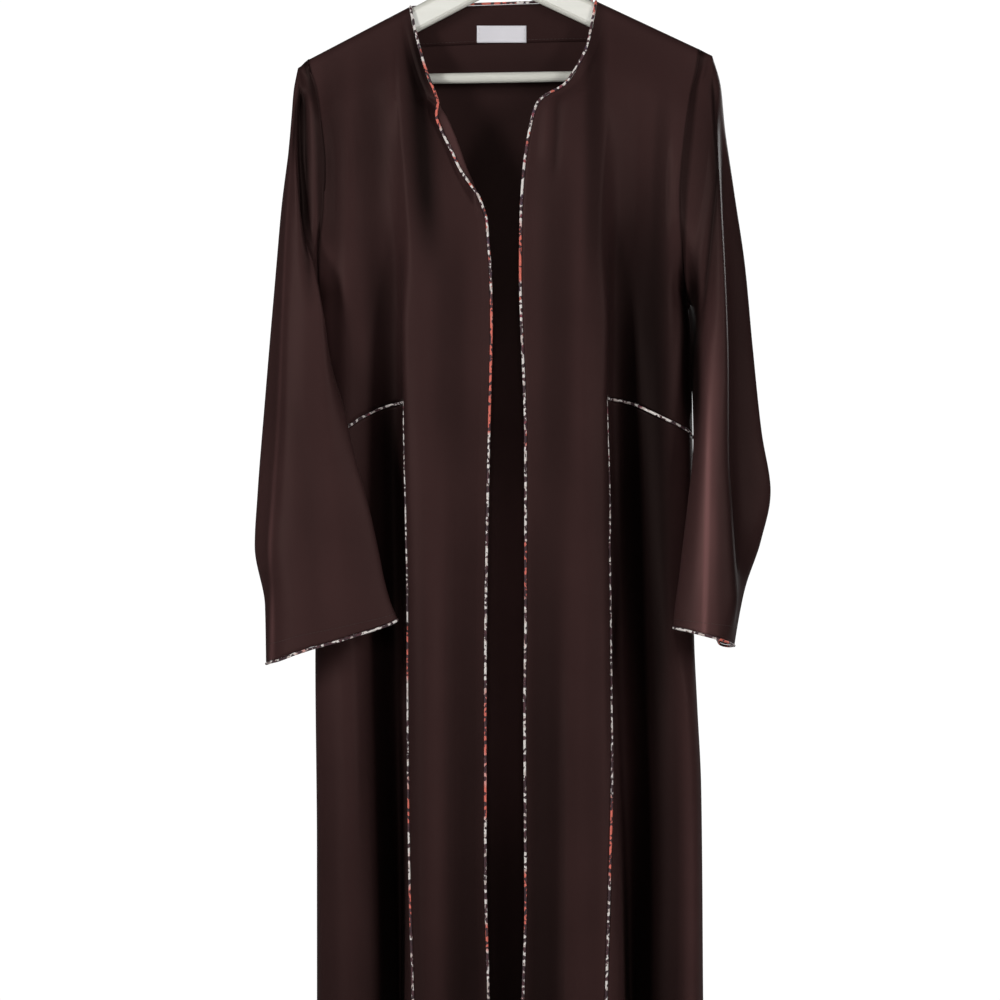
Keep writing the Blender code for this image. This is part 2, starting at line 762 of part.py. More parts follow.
def add_object(name, mesh, look):
    thing = bpy.data.objects.new(name, mesh)
    bpy.context.scene.collection.objects.link(thing)
    thing.data.materials.append(look)
    return thing


def smooth_mesh(mesh, angle=math.radians(50)):
    mesh.shade_smooth()
    mesh.set_sharp_from_angle(angle=angle)


def sheet(name, grid, look, wall=WALL, tube=False, cells=None):
    """A wall of even thickness on a grid of points, which may close round into a tube."""
    rows, columns = grid.shape[:2]
    faces = []
    for r in range(rows - 1):
        for c in range(columns if tube else columns - 1):
            if cells is None or cells(r, c):
                d = (c + 1) % columns
                faces.append((r * columns + c, r * columns + d, (r + 1) * columns + d, (r + 1) * columns + c))
    mesh = bpy.data.meshes.new(name)
    mesh.from_pydata([tuple(p * MM) for p in grid.reshape(-1, 3)], [], faces)
    cut = bmesh.new()
    cut.from_mesh(mesh)
    loose = [v for v in cut.verts if not v.link_faces]
    bmesh.ops.delete(cut, geom=loose, context="VERTS")
    cut.to_mesh(mesh)
    cut.free()
    thing = add_object(name, mesh, look)
    thickness = thing.modifiers.new("wall", "SOLIDIFY")
    thickness.thickness = wall * MM
    thickness.offset = 0.0
    smooth_mesh(mesh)
    return thing


def cord(name, points, look, radius=PIPING_RADIUS, closed=False, sides=PIPING_SIDES):
    """A round cord along points."""
    curve = bpy.data.curves.new(name, "CURVE")
    curve.dimensions = "3D"
    curve.bevel_depth = radius * MM
    curve.bevel_resolution = sides
    curve.use_fill_caps = not closed
    spline = curve.splines.new("POLY")
    spline.points.add(len(points) - 1)
    for slot, point in zip(spline.points, points):
        slot.co = (*(point * MM), 1.0)
    spline.use_cyclic_u = closed
    spline.use_smooth = True
    return add_object(name, curve, look)


def beyond(edge, inside, reach, closed=False):
    """Points past an edge of cloth, in its surface and square to the edge, further out where the edge twists."""
    ahead = np.roll(edge, -1, axis=0) - edge
    ahead /= np.linalg.norm(ahead, axis=1)[:, None]
    behind = np.roll(ahead, 1, axis=0)
    if not closed:
        behind[0] = ahead[0]
        ahead[-1] = behind[-1]
    run = ahead + behind
    run /= np.linalg.norm(run, axis=1)[:, None]
    direction = edge - inside
    direction -= run * np.sum(direction * run, axis=1)[:, None]
    direction /= np.linalg.norm(direction, axis=1)[:, None]
    twist = np.ones(len(edge))
    half_turn = np.sqrt(0.5 + 0.5 * np.sum(direction[1:] * direction[:-1], axis=1))
    twist[1:] = np.minimum(twist[1:], half_turn)
    twist[:-1] = np.minimum(twist[:-1], half_turn)
    return edge + direction * (reach / twist)[:, None]


def trimmed(points, start, end):
    """A path shortened at its two ends."""
    points = points.copy()
    for i, j, cut in ((0, 1, start), (-1, -2, end)):
        step = points[j] - points[i]
        points[i] += step * min(cut / np.linalg.norm(step), 0.9)
    return points


def patch(grid, rows, columns):
    """Points of a grid at rows and columns that may lie between its own."""
    out = []
    for r in rows:
        r0 = min(int(r), len(grid) - 2)
        line = mix(grid[r0], grid[r0 + 1], r - r0)
        row = []
        for c in columns:
            c0 = min(int(c), len(line) - 2)
            row.append(mix(line[c0], line[c0 + 1], c - c0))
        out.append(row)
    return np.array(out)


def lifted(grid, distance):
    """A grid moved towards the front, square to its surface."""
    across = np.gradient(grid, axis=1)
    down = np.gradient(grid, axis=0)
    normal = np.cross(across, down)
    normal /= np.linalg.norm(normal, axis=2)[..., None]
    normal *= np.where(normal[..., 1:2] > 0, -1.0, 1.0)
    return grid + normal * distance


def build_front(side, cloth, print_look):
    grid, front_last, upper_last = front_grid(side)

    def in_front(row, column):
        return column < front_last or row < upper_last

    def in_inset(row, column):
        return row > upper_last and column > front_last

    sheet(f"front_{side}", grid, cloth, cells=in_front)
    sheet(f"side_inset_{side}", grid, cloth, cells=in_inset)
    edge = beyond(grid[:, 0], grid[:, 1], PIPING_REACH)
    cord(f"piping_front_{side}", trimmed(edge, SEAM, 0.0), print_look)
    up = 0.5 * (grid[:, front_last] + grid[:, front_last + 1])[upper_last + 2 :][::-1]
    corner = 0.5 * (grid[upper_last, front_last] + grid[upper_last + 1, front_last + 1])
    over = 0.5 * (grid[upper_last] + grid[upper_last + 1])[front_last + 2 :]
    path = np.concatenate([up, [corner], over])
    cord(f"piping_inset_{side}", path, print_look)
    return grid


def build_back(cloth, print_look):
    grid = back_grid()
    sheet("back", grid, cloth)
    neck = slice(BACK_SHOULDER_STEPS, BACK_SHOULDER_STEPS + BACK_NECK_STEPS + 1)
    inside = grid[3, neck].copy()
    for k, share in enumerate(NECK_TURN):
        inside[k] = mix(inside[k], grid[0, neck.start - 1], share)
        inside[-1 - k] = mix(inside[-1 - k], grid[0, neck.stop], share)
    line = beyond(grid[0, neck], inside, PIPING_REACH)
    cord("piping_neck_back", trimmed(line, PIPING_REACH, PIPING_REACH), print_look)
    return grid


def build_facing(back, cloth, satin):
    """The neck's facing on the inside of the back, and the label on the facing."""
    first = BACK_SHOULDER_STEPS + FACING["left"]
    last = BACK_SHOULDER_STEPS + FACING["right"]
    columns = [first] + list(range(math.ceil(first), math.floor(last) + 1)) + [last]
    rows = list(range(1, BACK_ROWS.index(FACING["fall"]) + 1))
    facing = patch(back, rows, columns)
    facing = lifted(facing, 0.5 * WALL + SEAM + 0.5 * FACING_WALL)
    sheet("back_neck_facing", facing, cloth, wall=FACING_WALL)

    middle = np.array([column[0] for column in facing[0]])
    across = np.linspace(LABEL["left"], LABEL["left"] + LABEL["width"], LABEL_COLUMNS)
    columns = np.interp(across, middle, np.arange(len(middle)))
    drops = NECK_LEVEL - facing[:, len(middle) // 2, 2]
    down = np.linspace(LABEL["top"], LABEL["top"] + LABEL["height"], LABEL_ROWS)
    rows = np.interp(down, drops, np.arange(len(drops)))
    label = lifted(patch(facing, rows, columns), 0.5 * FACING_WALL + SEAM + 0.5 * LABEL_WALL)
    sheet("neck_label", label, satin, wall=LABEL_WALL)


def build_sleeve(side, front, back, cloth, print_look):
    grid = sleeve_grid(side, front, back)
    sheet(f"sleeve_{side}", grid, cloth, tube=True)
    cuff = beyond(grid[-1], grid[-2], PIPING_REACH, closed=True)
    cord(f"piping_cuff_{side}", cuff, print_look, closed=True)


def peak_level():
    """Height of the arms' peak, where the hook's collar stands."""
    return NECK_LEVEL - shoulder_drop("right", 0.0) - ARM_CLEARANCE - PEAK_RISE


def arm_outline():
    """The arms seen from the front: along the top from the left tip to the right, and back below."""
    top = []
    bottom = []
    for side in ("left", "right"):
        fall = SHOULDER[side]["fall"]
        slope = math.atan(fall)
        height = ARM_HEIGHT / math.cos(slope)
        sign = SIDE_SIGN[side]

        def arm_top(out, side=side):
            return shoulder_drop(side, out) + ARM_CLEARANCE

        tip = ARM_TIP_OUT
        inner = tip - LOBE_WIDTH
        lobe = BAR_DROP - sign * math.tan(BAR_TILT) * inner + LOBE_BELOW_BAR
        corner = LOBE_CORNER
        half_peak = 0.5 * PEAK_RADIUS
        upper = [
            (tip, arm_top(tip) + ARM_TIP_ROUND + 1),
            (tip - 0.3 * ARM_TIP_ROUND, arm_top(tip) + 0.45 * ARM_TIP_ROUND),
            (tip - ARM_TIP_ROUND, arm_top(tip - ARM_TIP_ROUND)),
            (PEAK_RADIUS, arm_top(PEAK_RADIUS)),
            (half_peak, arm_top(half_peak) + 0.32 * PEAK_RISE),
        ]
        lower = [
            (half_peak, arm_top(half_peak) + height + 0.24 * PEAK_RISE),
            (PEAK_RADIUS, arm_top(PEAK_RADIUS) + height),
            (inner - corner, arm_top(inner - corner) + height),
            (inner, arm_top(inner) + height + 1),
            (inner, lobe - corner),
            (inner + corner, lobe),
            (tip - corner, lobe),
            (tip, lobe - corner),
        ]
        upper = [(GARMENT_MIDDLE + sign * out, NECK_LEVEL - drop) for out, drop in upper]
        lower = [(GARMENT_MIDDLE + sign * out, NECK_LEVEL - drop) for out, drop in lower]
        if side == "left":
            top += upper
            bottom += lower[::-1]
        else:
            peak = (0.0, peak_level())
            valley = (0.0, peak[1] - height + 0.4 * PEAK_RISE)
            top += [peak] + upper[::-1]
            bottom += [valley] + lower
    return top + bottom[::-1]


def build_hanger(paint, steel):
    outline = arm_outline()
    shape = bmesh.new()
    ring = [shape.verts.new((x * MM, -0.5 * ARM_THICKNESS * MM, z * MM)) for x, z in outline]
    face = shape.faces.new(ring)
    grown = bmesh.ops.extrude_face_region(shape, geom=[face])
    moved = [v for v in grown["geom"] if isinstance(v, bmesh.types.BMVert)]
    bmesh.ops.translate(shape, verts=moved, vec=(0, ARM_THICKNESS * MM, 0))
    bmesh.ops.recalc_face_normals(shape, faces=shape.faces)
    mesh = bpy.data.meshes.new("hanger_arms")
    shape.to_mesh(mesh)
    shape.free()
    arms = add_object("hanger_arms", mesh, paint)
    rounding = arms.modifiers.new("rounding", "BEVEL")
    rounding.width = ARM_BEVEL * MM
    rounding.segments = 3
    rounding.limit_method = "ANGLE"
    rounding.angle_limit = math.radians(60)
    smooth_mesh(mesh)

    inner = ARM_TIP_OUT - LOBE_WIDTH - SEAM
    ends = []
    for out in (-inner, inner):
        lift = math.tan(BAR_TILT) * out
        ends.append(np.array([GARMENT_MIDDLE + out, 0.0, NECK_LEVEL - BAR_DROP + lift]))
    cord("hanger_bar", ends, paint, radius=BAR_RADIUS, sides=6)

    peak = peak_level()
    collar = bpy.data.meshes.new("hanger_collar")
    turned = bmesh.new()
    bmesh.ops.create_cone(
        turned,
        cap_ends=True,
        segments=20,
        radius1=COLLAR_RADIUS * MM,
        radius2=0.7 * COLLAR_RADIUS * MM,
        depth=COLLAR_HEIGHT * MM,
    )
    bmesh.ops.translate(turned, verts=turned.verts, vec=(0, 0, (peak + SEAM + 0.5 * COLLAR_HEIGHT) * MM))
    turned.to_mesh(collar)
    turned.free()
    add_object("hanger_collar", collar, steel)
    smooth_mesh(collar)

    loop = HOOK_INNER_RADIUS + HOOK_WIRE
    stem_foot = peak + 2 * SEAM + COLLAR_HEIGHT
    points = []
    for k in range(HOOK_TURN_STEPS + 1):
        angle = mix(HOOK_TIP_ANGLE, HOOK_LEAVE_ANGLE, k / HOOK_TURN_STEPS)
        points.append(np.array([loop * math.cos(angle), 0.0, -HOOK_INNER_RADIUS + loop * math.sin(angle)]))
    end = points[-1]
    knee = np.array([0.0, 0.0, stem_foot + HOOK_STEM])
    pull = np.array([HOOK_SWEEP["aside"], 0.0, -HOOK_INNER_RADIUS - loop + HOOK_SWEEP["below"]])
    for k in range(1, HOOK_NECK_STEPS + 1):
        t = k / HOOK_NECK_STEPS
        points.append(mix(mix(end, pull, t), mix(pull, knee, t), t))
    points.append(np.array([0.0, 0.0, stem_foot]))
    cord("hanger_hook", points, steel, radius=HOOK_WIRE, sides=2)


def main():
    for thing in list(bpy.data.objects):
        bpy.data.objects.remove(thing, do_unlink=True)
    cloth = material("abaya_cloth", (0.036, 0.019, 0.016), 0.62, sheen=0.3)
    print_look = material("piping_print", (0.62, 0.42, 0.38), 0.6)
    satin = material("label_satin", (0.80, 0.79, 0.82), 0.4)
    paint = material("hanger_paint", (0.77, 0.76, 0.68), 0.35)
    steel = material("hook_steel", (0.72, 0.72, 0.73), 0.22, metallic=1.0)

    back = build_back(cloth, print_look)
    for side in ("left", "right"):
        front = build_front(side, cloth, print_look)
        build_sleeve(side, front, back, cloth, print_look)
    build_facing(back, cloth, satin)
    build_hanger(paint, steel)


main()
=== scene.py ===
import math

import bpy
import numpy as np
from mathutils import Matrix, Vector

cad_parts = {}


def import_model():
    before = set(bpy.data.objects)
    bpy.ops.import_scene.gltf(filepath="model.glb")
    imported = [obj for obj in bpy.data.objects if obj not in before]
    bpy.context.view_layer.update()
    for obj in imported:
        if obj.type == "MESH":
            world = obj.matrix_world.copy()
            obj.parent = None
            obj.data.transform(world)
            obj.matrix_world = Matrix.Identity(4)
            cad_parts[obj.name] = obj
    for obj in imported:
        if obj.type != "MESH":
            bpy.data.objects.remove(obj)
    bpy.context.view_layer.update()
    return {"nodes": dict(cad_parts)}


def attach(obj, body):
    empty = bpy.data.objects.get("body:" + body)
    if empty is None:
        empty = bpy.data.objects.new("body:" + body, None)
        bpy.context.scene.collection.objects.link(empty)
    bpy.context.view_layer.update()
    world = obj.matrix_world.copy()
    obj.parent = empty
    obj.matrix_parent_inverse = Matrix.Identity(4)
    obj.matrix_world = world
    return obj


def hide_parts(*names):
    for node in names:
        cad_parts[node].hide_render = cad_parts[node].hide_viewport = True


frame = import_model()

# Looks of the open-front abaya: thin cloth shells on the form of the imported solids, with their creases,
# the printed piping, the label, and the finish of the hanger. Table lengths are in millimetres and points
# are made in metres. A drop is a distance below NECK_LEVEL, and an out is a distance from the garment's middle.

MM = 0.001
TINY = 1e-9

# Sizes shared with the solids
SHELL = 0.5
PIPING_REACH = 1.6
SHELL_SEAM = 0.12
NECK_LEVEL = -108.0
HEM_DROP = 1428.0
UNDERARM_DROP = 300.0
GARMENT_MIDDLE = 2.0
DRAPE_RADIUS = 8.2
FRONT_DRAPE = 70.0
BACK_DRAPE = 80.0
SIDE_SIGN = {"left": -1.0, "right": 1.0}
SHOULDER = {
    "left": {"neck_out": 98.6, "neck_drop": 8.3, "fall": 0.523},
    "right": {"neck_out": 91.5, "neck_drop": 2.0, "fall": 0.468},
}


def table(names, *rows):
    """Named columns from rows of numbers."""
    return dict(zip(names.split(), np.array(rows, dtype=float).T))


# Neck and front edge: how far out it lies, and how it curls over to the front (angle in degrees, flap)
EDGE = {
    "left": table(
        "drop out angle flap",
        (8.3, 97.0, 0, 3), (31, 92.4, 0, 3), (55, 86.4, 0, 3), (80, 78.4, 0, 3), (94, 72.6, 0, 3),
        (100, 70.6, 22, 3.5), (107, 66.6, 90, 4.5), (114, 62.2, 138, 6), (123, 57.0, 158, 8.5), (137, 51.0, 162, 8),
        (153, 45.0, 160, 6), (171, 38.6, 156, 4.5), (185, 32.6, 135, 3), (198, 27.8, 80, 3), (210, 24.3, 25, 3),
        (222, 21.0, 0, 3), (241, 19.6, 0, 3), (275, 17.0, 0, 3), (320, 16.1, 0, 3), (422, 18.2, 0, 3),
        (524, 20.3, 0, 3), (669, 22.1, 0, 3), (864, 22.1, 0, 3), (1000, 19.0, 0, 3), (HEM_DROP, 18.0, 0, 3),
    ),
    "right": table(
        "drop out angle flap",
        (2, 91.5, 0, 3), (22, 87.6, 0, 3), (43, 83.6, 0, 3), (57, 78.4, 0, 3), (75, 68.2, 0, 3), (87, 59.4, 0, 3),
        (93, 50.2, 0, 3), (99, 38.4, 0, 3), (108, 31.2, 0, 3), (122, 27.1, 0, 3), (139, 23.6, 0, 3),
        (165, 19.8, 0, 3), (190, 17.6, 0, 3), (220, 16.2, 0, 3), (275, 15.6, 0, 3), (320, 16.6, 0, 3),
        (392, 19.6, 0, 3), (443, 20.9, 0, 3), (620, 20.9, 0, 3), (704, 19.9, 0, 3), (904, 20.9, 0, 3),
        (1000, 18.3, 0, 3), (HEM_DROP, 17.6, 0, 3),
    ),
}

# Front sections: outs of the band's fold, the recess's far side, the side's ridge and the side seam or armhole,
# and how far past the fold the piped seam lies along the cloth
FRONT = {
    "left": table(
        "drop fold past far ridge side",
        (0, 109.5, 32, 140, 165, 199.4), (61, 109, 30, 140, 163, 199.4), (90, 108.5, 27, 141, 163, 191),
        (130, 107, 23, 143, 162, 185), (163, 106, 20, 145, 162, 182.3), (210, 105, 16, 146, 162, 183.4),
        (255, 104, 13, 147, 162, 188), (300, 103.5, 10, 147, 161, 188), (345, 103, 8, 147, 160, 183.5),
        (402, 102, 7, 147, 160, 181), (530, 99.5, 1.5, 146, 160, 183), (600, 98.7, 0, 144, 160, 187),
        (653, 98.5, 0, 142, 160, 190.5), (853, 98.5, -3.5, 132, 158, 189), (1000, 100, -11, 125, 156, 189),
        (HEM_DROP, 104, -23, 122, 156, 196),
    ),
    "right": table(
        "drop fold past far ridge side",
        (0, 101, 32, 136, 160, 194.8), (50, 101, 31, 136, 160, 194.8), (66, 101, 29, 136, 160, 192.8),
        (94, 101.3, 26, 137, 160, 186), (133, 101.6, 22, 138, 158, 179.5), (200, 102, 16, 139, 156, 174),
        (265, 102.4, 12, 140, 156, 177.5), (300, 102.5, 10, 140, 156, 181), (340, 101.7, 9, 140, 157, 184.5),
        (398, 100.5, 7, 140, 158, 186), (500, 103, 3, 141, 162, 187), (549, 104, -1, 142, 162, 187),
        (636, 105, -0.5, 145, 166, 188), (704, 106, -1.5, 148, 178, 191), (785, 110, -7.5, 150, 180, 195),
        (864, 114, -14.5, 151, 181, 196), (1000, 118, -23, 148, 181, 197), (HEM_DROP, 128, -41, 146, 182, 205),
    ),
}

# Curled edge, and the turn of the cloth at the band's fold
CURL_LENGTH = {"flat": 5.0, "folded": 7.6}
CURL_STEPS = 10
FOLD_TURN = table(
    "before share taken sunk",
    (10.0, 0.35, 0.06, 0), (1.0, 0.10, 0.16, 1),
)
BAND_CREST = 0.45
FOLD = {"full_step": 30.0, "undercut": 1.5, "middle": 0.5, "sunk": 1.0, "foot": 4.0, "foot_rise": 0.1}
FLOOR_MIDDLE = 0.26
FAR_RISE = 0.8
# Bend from the ridge to the side, where the side is flat and where it is round
SIDE_BEND = {"middle_out": (0.62, 0.8), "middle_back": (0.6, 0.32), "end_back": (0.85, 0.68), "end_in": (4.0, 0.6)}
# Steps between two knots of the section, and the knots that end a stretch of the cloth
SECTION_STEPS = 6
MARKED_KNOTS = {"fold": 3, "foot": 5, "far": 7, "ridge": 8}

# How far each line of the body stands from the shoulders' plane: to the front, and the back to the back
DEPTH = table(
    "drop edge band floor ridge back",
    (0, 14, 16, 16, 14, 14), (60, 18, 24, 22, 18, 18), (110, 26, 34, 29, 22, 22), (200, 38, 45, 30, 23, 27),
    (300, 44, 50, 17, 24, 31), (402, 48, 53, 3, 25, 34), (530, 51, 56, -12, 27, 38), (640, 52, 58, -17, 32, 41),
    (760, 53, 60, -19, 36, 44), (1000, 55, 62, -21, 40, 49), (HEM_DROP, 58, 66, -22, 44, 55),
)

# Where the front and the back end at the armhole, and below the underarm at the side seam
SIDE = table(
    "drop front back round",
    (0, 9, 9, 0), (60, 10, 10, 0), (90, 18, 16, 0), (130, 26, 23, 0), (170, 30, 27, 0), (215, 30, 28, 0),
    (255, 22, 24, 0), (285, 8, 15, 0.3), (UNDERARM_DROP, -5, 5, 0.7), (330, -5, 5, 1), (HEM_DROP, -5, 5, 1),
)

# Top of the side inset: drop of the piped seam at each distance past its corner
INSET_TOP = {
    "left": table(
        "past drop",
        (0, 402), (26, 403), (38, 404.5), (51, 408), (65, 413), (78, 418), (92, 425.5), (140, 446),
    ),
    "right": table(
        "past drop",
        (0, 398), (26, 399), (42, 401), (60, 405), (80, 412.5), (100, 421), (115, 427), (140, 438),
    ),
}
INSET_CORNER = 24.0
CORNER_SOFTNESS = 0.13
SEAM_SLANT = 1.06

# Soft folds of the back
BACK_FOLDS = table(
    "at width height start",
    (-142, 22, 8, 150), (-78, 26, -9, 120), (-14, 24, 7, 220), (52, 28, -10, 140), (126, 24, 9, 180),
)
FOLD_GROWTH = 420.0
BACK_ROUNDING = 5.0
NECK_RISE = 1.5

# Sleeve sections from the shoulder to the cuff
SLEEVE_STEPS = (16, 16, 12, 12, 12, 12, 12)
FRONT_STEPS = sum(SLEEVE_STEPS[:4])
SLEEVE_LINES = "tip front brow valley outer back heel"
SLEEVE_NAMES = "inner_drop outer_drop " + " ".join(f"{n}_out {n}_y" for n in SLEEVE_LINES.split())
SLEEVE = {
    "left": table(
        SLEEVE_NAMES,
        (307, 68, 194, 5, 191, -34, 204, -26, 207, -13, 208, 0, 204, 20, 195, 27),
        (321, 90, 195, 4, 188, -43, 207, -32, 211, -17, 212, -2, 209, 20, 203, 22),
        (341, 115, 190, -2, 184, -48, 206, -38, 212, -22, 214, -5, 211, 19, 205, 18),
        (364, 150, 179, -20, 180, -52, 206, -43, 214, -27, 217, -9, 213, 17, 206, 12),
        (400, 205, 163, -38, 179, -55, 208, -47, 217, -35, 224, -14, 218, 13, 205, 3),
        (455, 300, 149, -46, 184, -58, 214, -50, 220, -42, 232, -18, 226, 8, 203, -6),
        (510, 400, 134, -50, 176, -62, 216, -54, 223, -46, 240, -24, 233, 2, 200, -14),
        (555, 490, 124, -52, 170, -66, 218, -58, 228, -50, 247, -28, 238, -2, 196, -22),
        (580, 545, 119, -53, 166, -68, 218, -62, 231, -54, 250, -30, 240, -6, 192, -28),
        (600, 604, 113, -54, 160, -70, 212, -66, 228, -56, 240, -36, 230, -12, 186, -30),
        (615, 661, 106.5, -55, 152, -72, 204, -68, 224, -60, 239, -40, 226, -16, 178, -32),
    ),
    "right": table(
        SLEEVE_NAMES,
        (304, 56, 185, 6, 187, -34, 201, -30, 205, -14, 206, 0, 202, 20, 184, 29),
        (316, 85, 187, 4, 193, -38, 207, -36, 211, -16, 214.5, -2, 209, 22, 183, 29),
        (337, 128, 188, 3, 200, -38, 211, -42, 214, -16, 219, -2, 212, 24, 184, 28),
        (365, 190, 186, 0, 201, -42, 214, -46, 217, -14, 229, 0, 214, 25, 185, 26),
        (405, 260, 186, -8, 198, -48, 217, -50, 220, -14, 240, 2, 220, 26, 196, 19),
        (450, 345, 185, -38, 198, -58, 219, -54, 222, -14, 248, 4, 228, 26, 208, 9),
        (500, 430, 179.5, -44, 194, -64, 219, -58, 223, -16, 257, 4, 234, 26, 209, 7),
        (550, 490, 173.5, -50, 192, -70, 222, -64, 226, -18, 266, 2, 240, 27, 209, 7),
        (580, 540, 170, -53, 190, -73, 224, -68, 228, -26, 256, 0, 236, 29, 209, 7),
        (603, 590, 166.5, -56, 188, -76, 226, -71, 230, -38, 239, -4, 224, 32, 209, 8),
        (624, 644, 164.6, -58, 186, -78, 214, -74, 225, -48, 227, -8, 216, 34, 209, 9),
    ),
}
CUFF_BACK_DIP = 5.0
CUFF_STRAIGHTNESS = {"left": 1.0, "right": 0.3}
CUFF_POINT = 0.25
ARMHOLE_REACH = UNDERARM_DROP + 12
SLEEVE_ROWS = 130
SLEEVE_HEAD_ROWS = 5

# Back neck facing, the label on it, and how far each lies in front of what is behind it
FACING = {"left": -92.0, "right": 89.0, "top": 1.2, "bottom": 38.0, "below_neck": True, "columns": 60, "rows": 14}
LABEL = {"left": -29.3, "right": 20.5, "top": 24.2, "bottom": 41.2, "below_neck": False, "columns": 24, "rows": 10}
FACING_LIFT = 1.4
LABEL_LIFT = 0.9

# Piping and sewing. aside is a direction that the round never runs along, from which its ring of points is turned
PIPING = {"radius": 1.3, "sides": 10, "step": 2.0, "aside": (0.0, 1.0, 0.0)}
STITCH = {"length": 2.6, "gap": 1.1, "radius": 0.2, "sides": 5, "start": 0.15, "aside": (0.13, 0.97, 0.21)}
STITCH_SHAPE = ((0.0, 0.4), (0.22, 1.0), (0.78, 1.0), (1.0, 0.4))
ON_CLOTH = 0.5 * SHELL + 0.5 * STITCH["radius"]
HEM_TURN = 18.0
CUFF_TURN = 20.0
SEAM_ALLOWANCE = {"reach": 3.0, "under": 0.9}

# Sampling of the shells: rows close below an edge, even ones after them, and how far these keep clear of others
SECTION_GAP = 3.0
CLOTH_STEP = 0.75
CLOTH_REACH = 330.0
LAST_CELL = 1.001
EDGE_ROWS = (0.0, 0.7, 1.6, 3.0, 5.0, 7.5, 10.5, 14.0)
EVEN_FROM = 18.0
CLEAR = {"above": 4.0, "below": 5.0, "hem": 5.0, "back_hem": 6.0}
BACK_COLUMNS = {"shoulder": 26, "neck": 44, "crowding": 1.6}
SETTLING = {"top": 8, "seam": 4, "share": 0.9}
UPPER_ROW_GAP = 4.5
LOWER_ROW_GAP = 8.0
BACK_ROW_GAP = 8.0

# Creases as seen in the photograph, and similar ones at the back: outs and drops of both ends, sideways bow, half
# width, rise out of the cloth, and shade: the painted highlight (above zero) or painted shade (below zero) that is
# put into the cloth's colour along them. Rows that don't rise only paint shade or highlight on a strip of the cloth
FADE = {"top": 0.3, "low": 0.35}
CREASE_POWER = 2.0
ZONE_POWER = 3.4
UNEVENNESS = 0.25
UNEVEN_EVERY = 37.0
# Least and most by which the painted shade and highlight may scale the cloth's colour
PAINTED_LIGHT_RANGE = (0.12, 4.5)
CREASE_NAMES = "top_out top_drop low_out low_drop bow width rise shade"
FRONT_CREASES = {
    "left": table(
        CREASE_NAMES,
        (99, 60, 99, 1400, 0, 3.5, 0.7, 0.05), (60, 380, 60, 1428, 3, 7, 1.8, 0),
        (50, 400, 49, 1420, 2, 6, -1.4, 0), (90, -30, 70, 300, 4, 14, -3.4, -0.93),
        (84, 560, 86, 1400, -3, 8, 1.0, 0), (89, 440, 89, 1500, 0, 11, 0, -0.3),
        (52, 190, 56, 500, 0, 17, 0, -0.28), (38, 330, 38, 1800, 0, 20, 0, -0.5),
        (36, 660, 36, 2000, 0, 21, 0, -0.4), (70, 620, 70, 2200, 0, 30, 0, -0.2), (74, 80, 33, 202, 0, 6, 0, 1.1),
        (56, 250, 56, 2600, 0, 70, 0, -0.14), (128, 60, 126, 260, 2, 13, -1.6, -0.12),
        (160, 90, 160, 390, 0, 6, 1.6, 0.08), (175, 70, 168, 330, -3, 8, -1.4, -0.12),
        (150, 500, 151, 1400, 0, 7, 1.6, 0.05), (176, 640, 178, 1420, 0, 9, -1.2, -0.08),
        (140, 130, 138, 380, 0, 7, 0.8, 0), (134, 20, 134, 360, 0, 16, 0, -0.3),
        (172, 20, 172, 290, 0, 13, 0, -0.25), (184, 236, 182, 400, 0, 11, 0, 0.8),
        (121, 210, 121, 560, 0, 17, 0, -0.55), (128, 280, 108, 1600, 0, 16, 0, -0.6),
        (114, 560, 112, 1900, 0, 15, 0, -0.75), (160, 560, 160, 2200, 0, 50, 0, -0.34),
        (112, 320, 112, 720, 0, 12, 0, -0.72),
    ),
    "right": table(
        CREASE_NAMES,
        (97, 60, 99, 1400, 0, 3.5, 0.7, 0.05), (42, 84, 38, 170, 0, 5, 1.4, 0.15),
        (52, 84, 47, 190, 0, 4, -1.8, -0.4), (63, 520, 58, 1428, 0, 6, 1.8, 0.05),
        (54, 540, 50, 1428, 0, 6, -1.4, -0.1), (72, 160, 70, 620, 3, 7, 1.2, 0), (84, 300, 82, 1100, -2, 8, 1.1, 0),
        (52, 120, 50, 560, 0, 17, 0, -0.36), (40, 300, 32, 1800, 0, 21, 0, -0.6),
        (37, 660, 32, 2000, 0, 20, 0, -0.4), (88, -60, 88, 360, 0, 10, 0, -0.5), (98, 340, 98, 1400, 0, 5, 0, 0.12),
        (56, 250, 56, 2600, 0, 70, 0, -0.14), (150, 70, 146, 300, 3, 10, 1.2, 0),
        (168, 90, 161, 395, 0, 6, 1.8, 0.2), (132, 90, 128, 330, 0, 10, -1.4, 0),
        (186, 640, 188, 1420, 0, 6, 1.2, 0.08), (170, 640, 172, 1400, 0, 8, -1.2, -0.15),
        (132, 90, 128, 700, 0, 33, 0, -0.55), (156, 60, 150, 400, 0, 9, 0, -0.3),
        (138, 130, 128, 800, 0, 27, 0, -0.55), (142, 240, 144, 780, 0, 21, 0, -0.66),
        (122, 300, 120, 1300, 0, 9, 0, 0.6), (144, 380, 148, 1500, 0, 14, 0, -0.8),
        (163, 500, 166, 1600, 0, 11, 0, -0.5), (128, 600, 134, 1900, 0, 16, 0, -0.85),
        (160, 560, 162, 2200, 0, 22, 0, -0.25), (184, 560, 189, 1800, 0, 7, 0.6, 0.4),
        (180, 220, 182, 470, -2, 6, 0, -0.93),
    ),
}
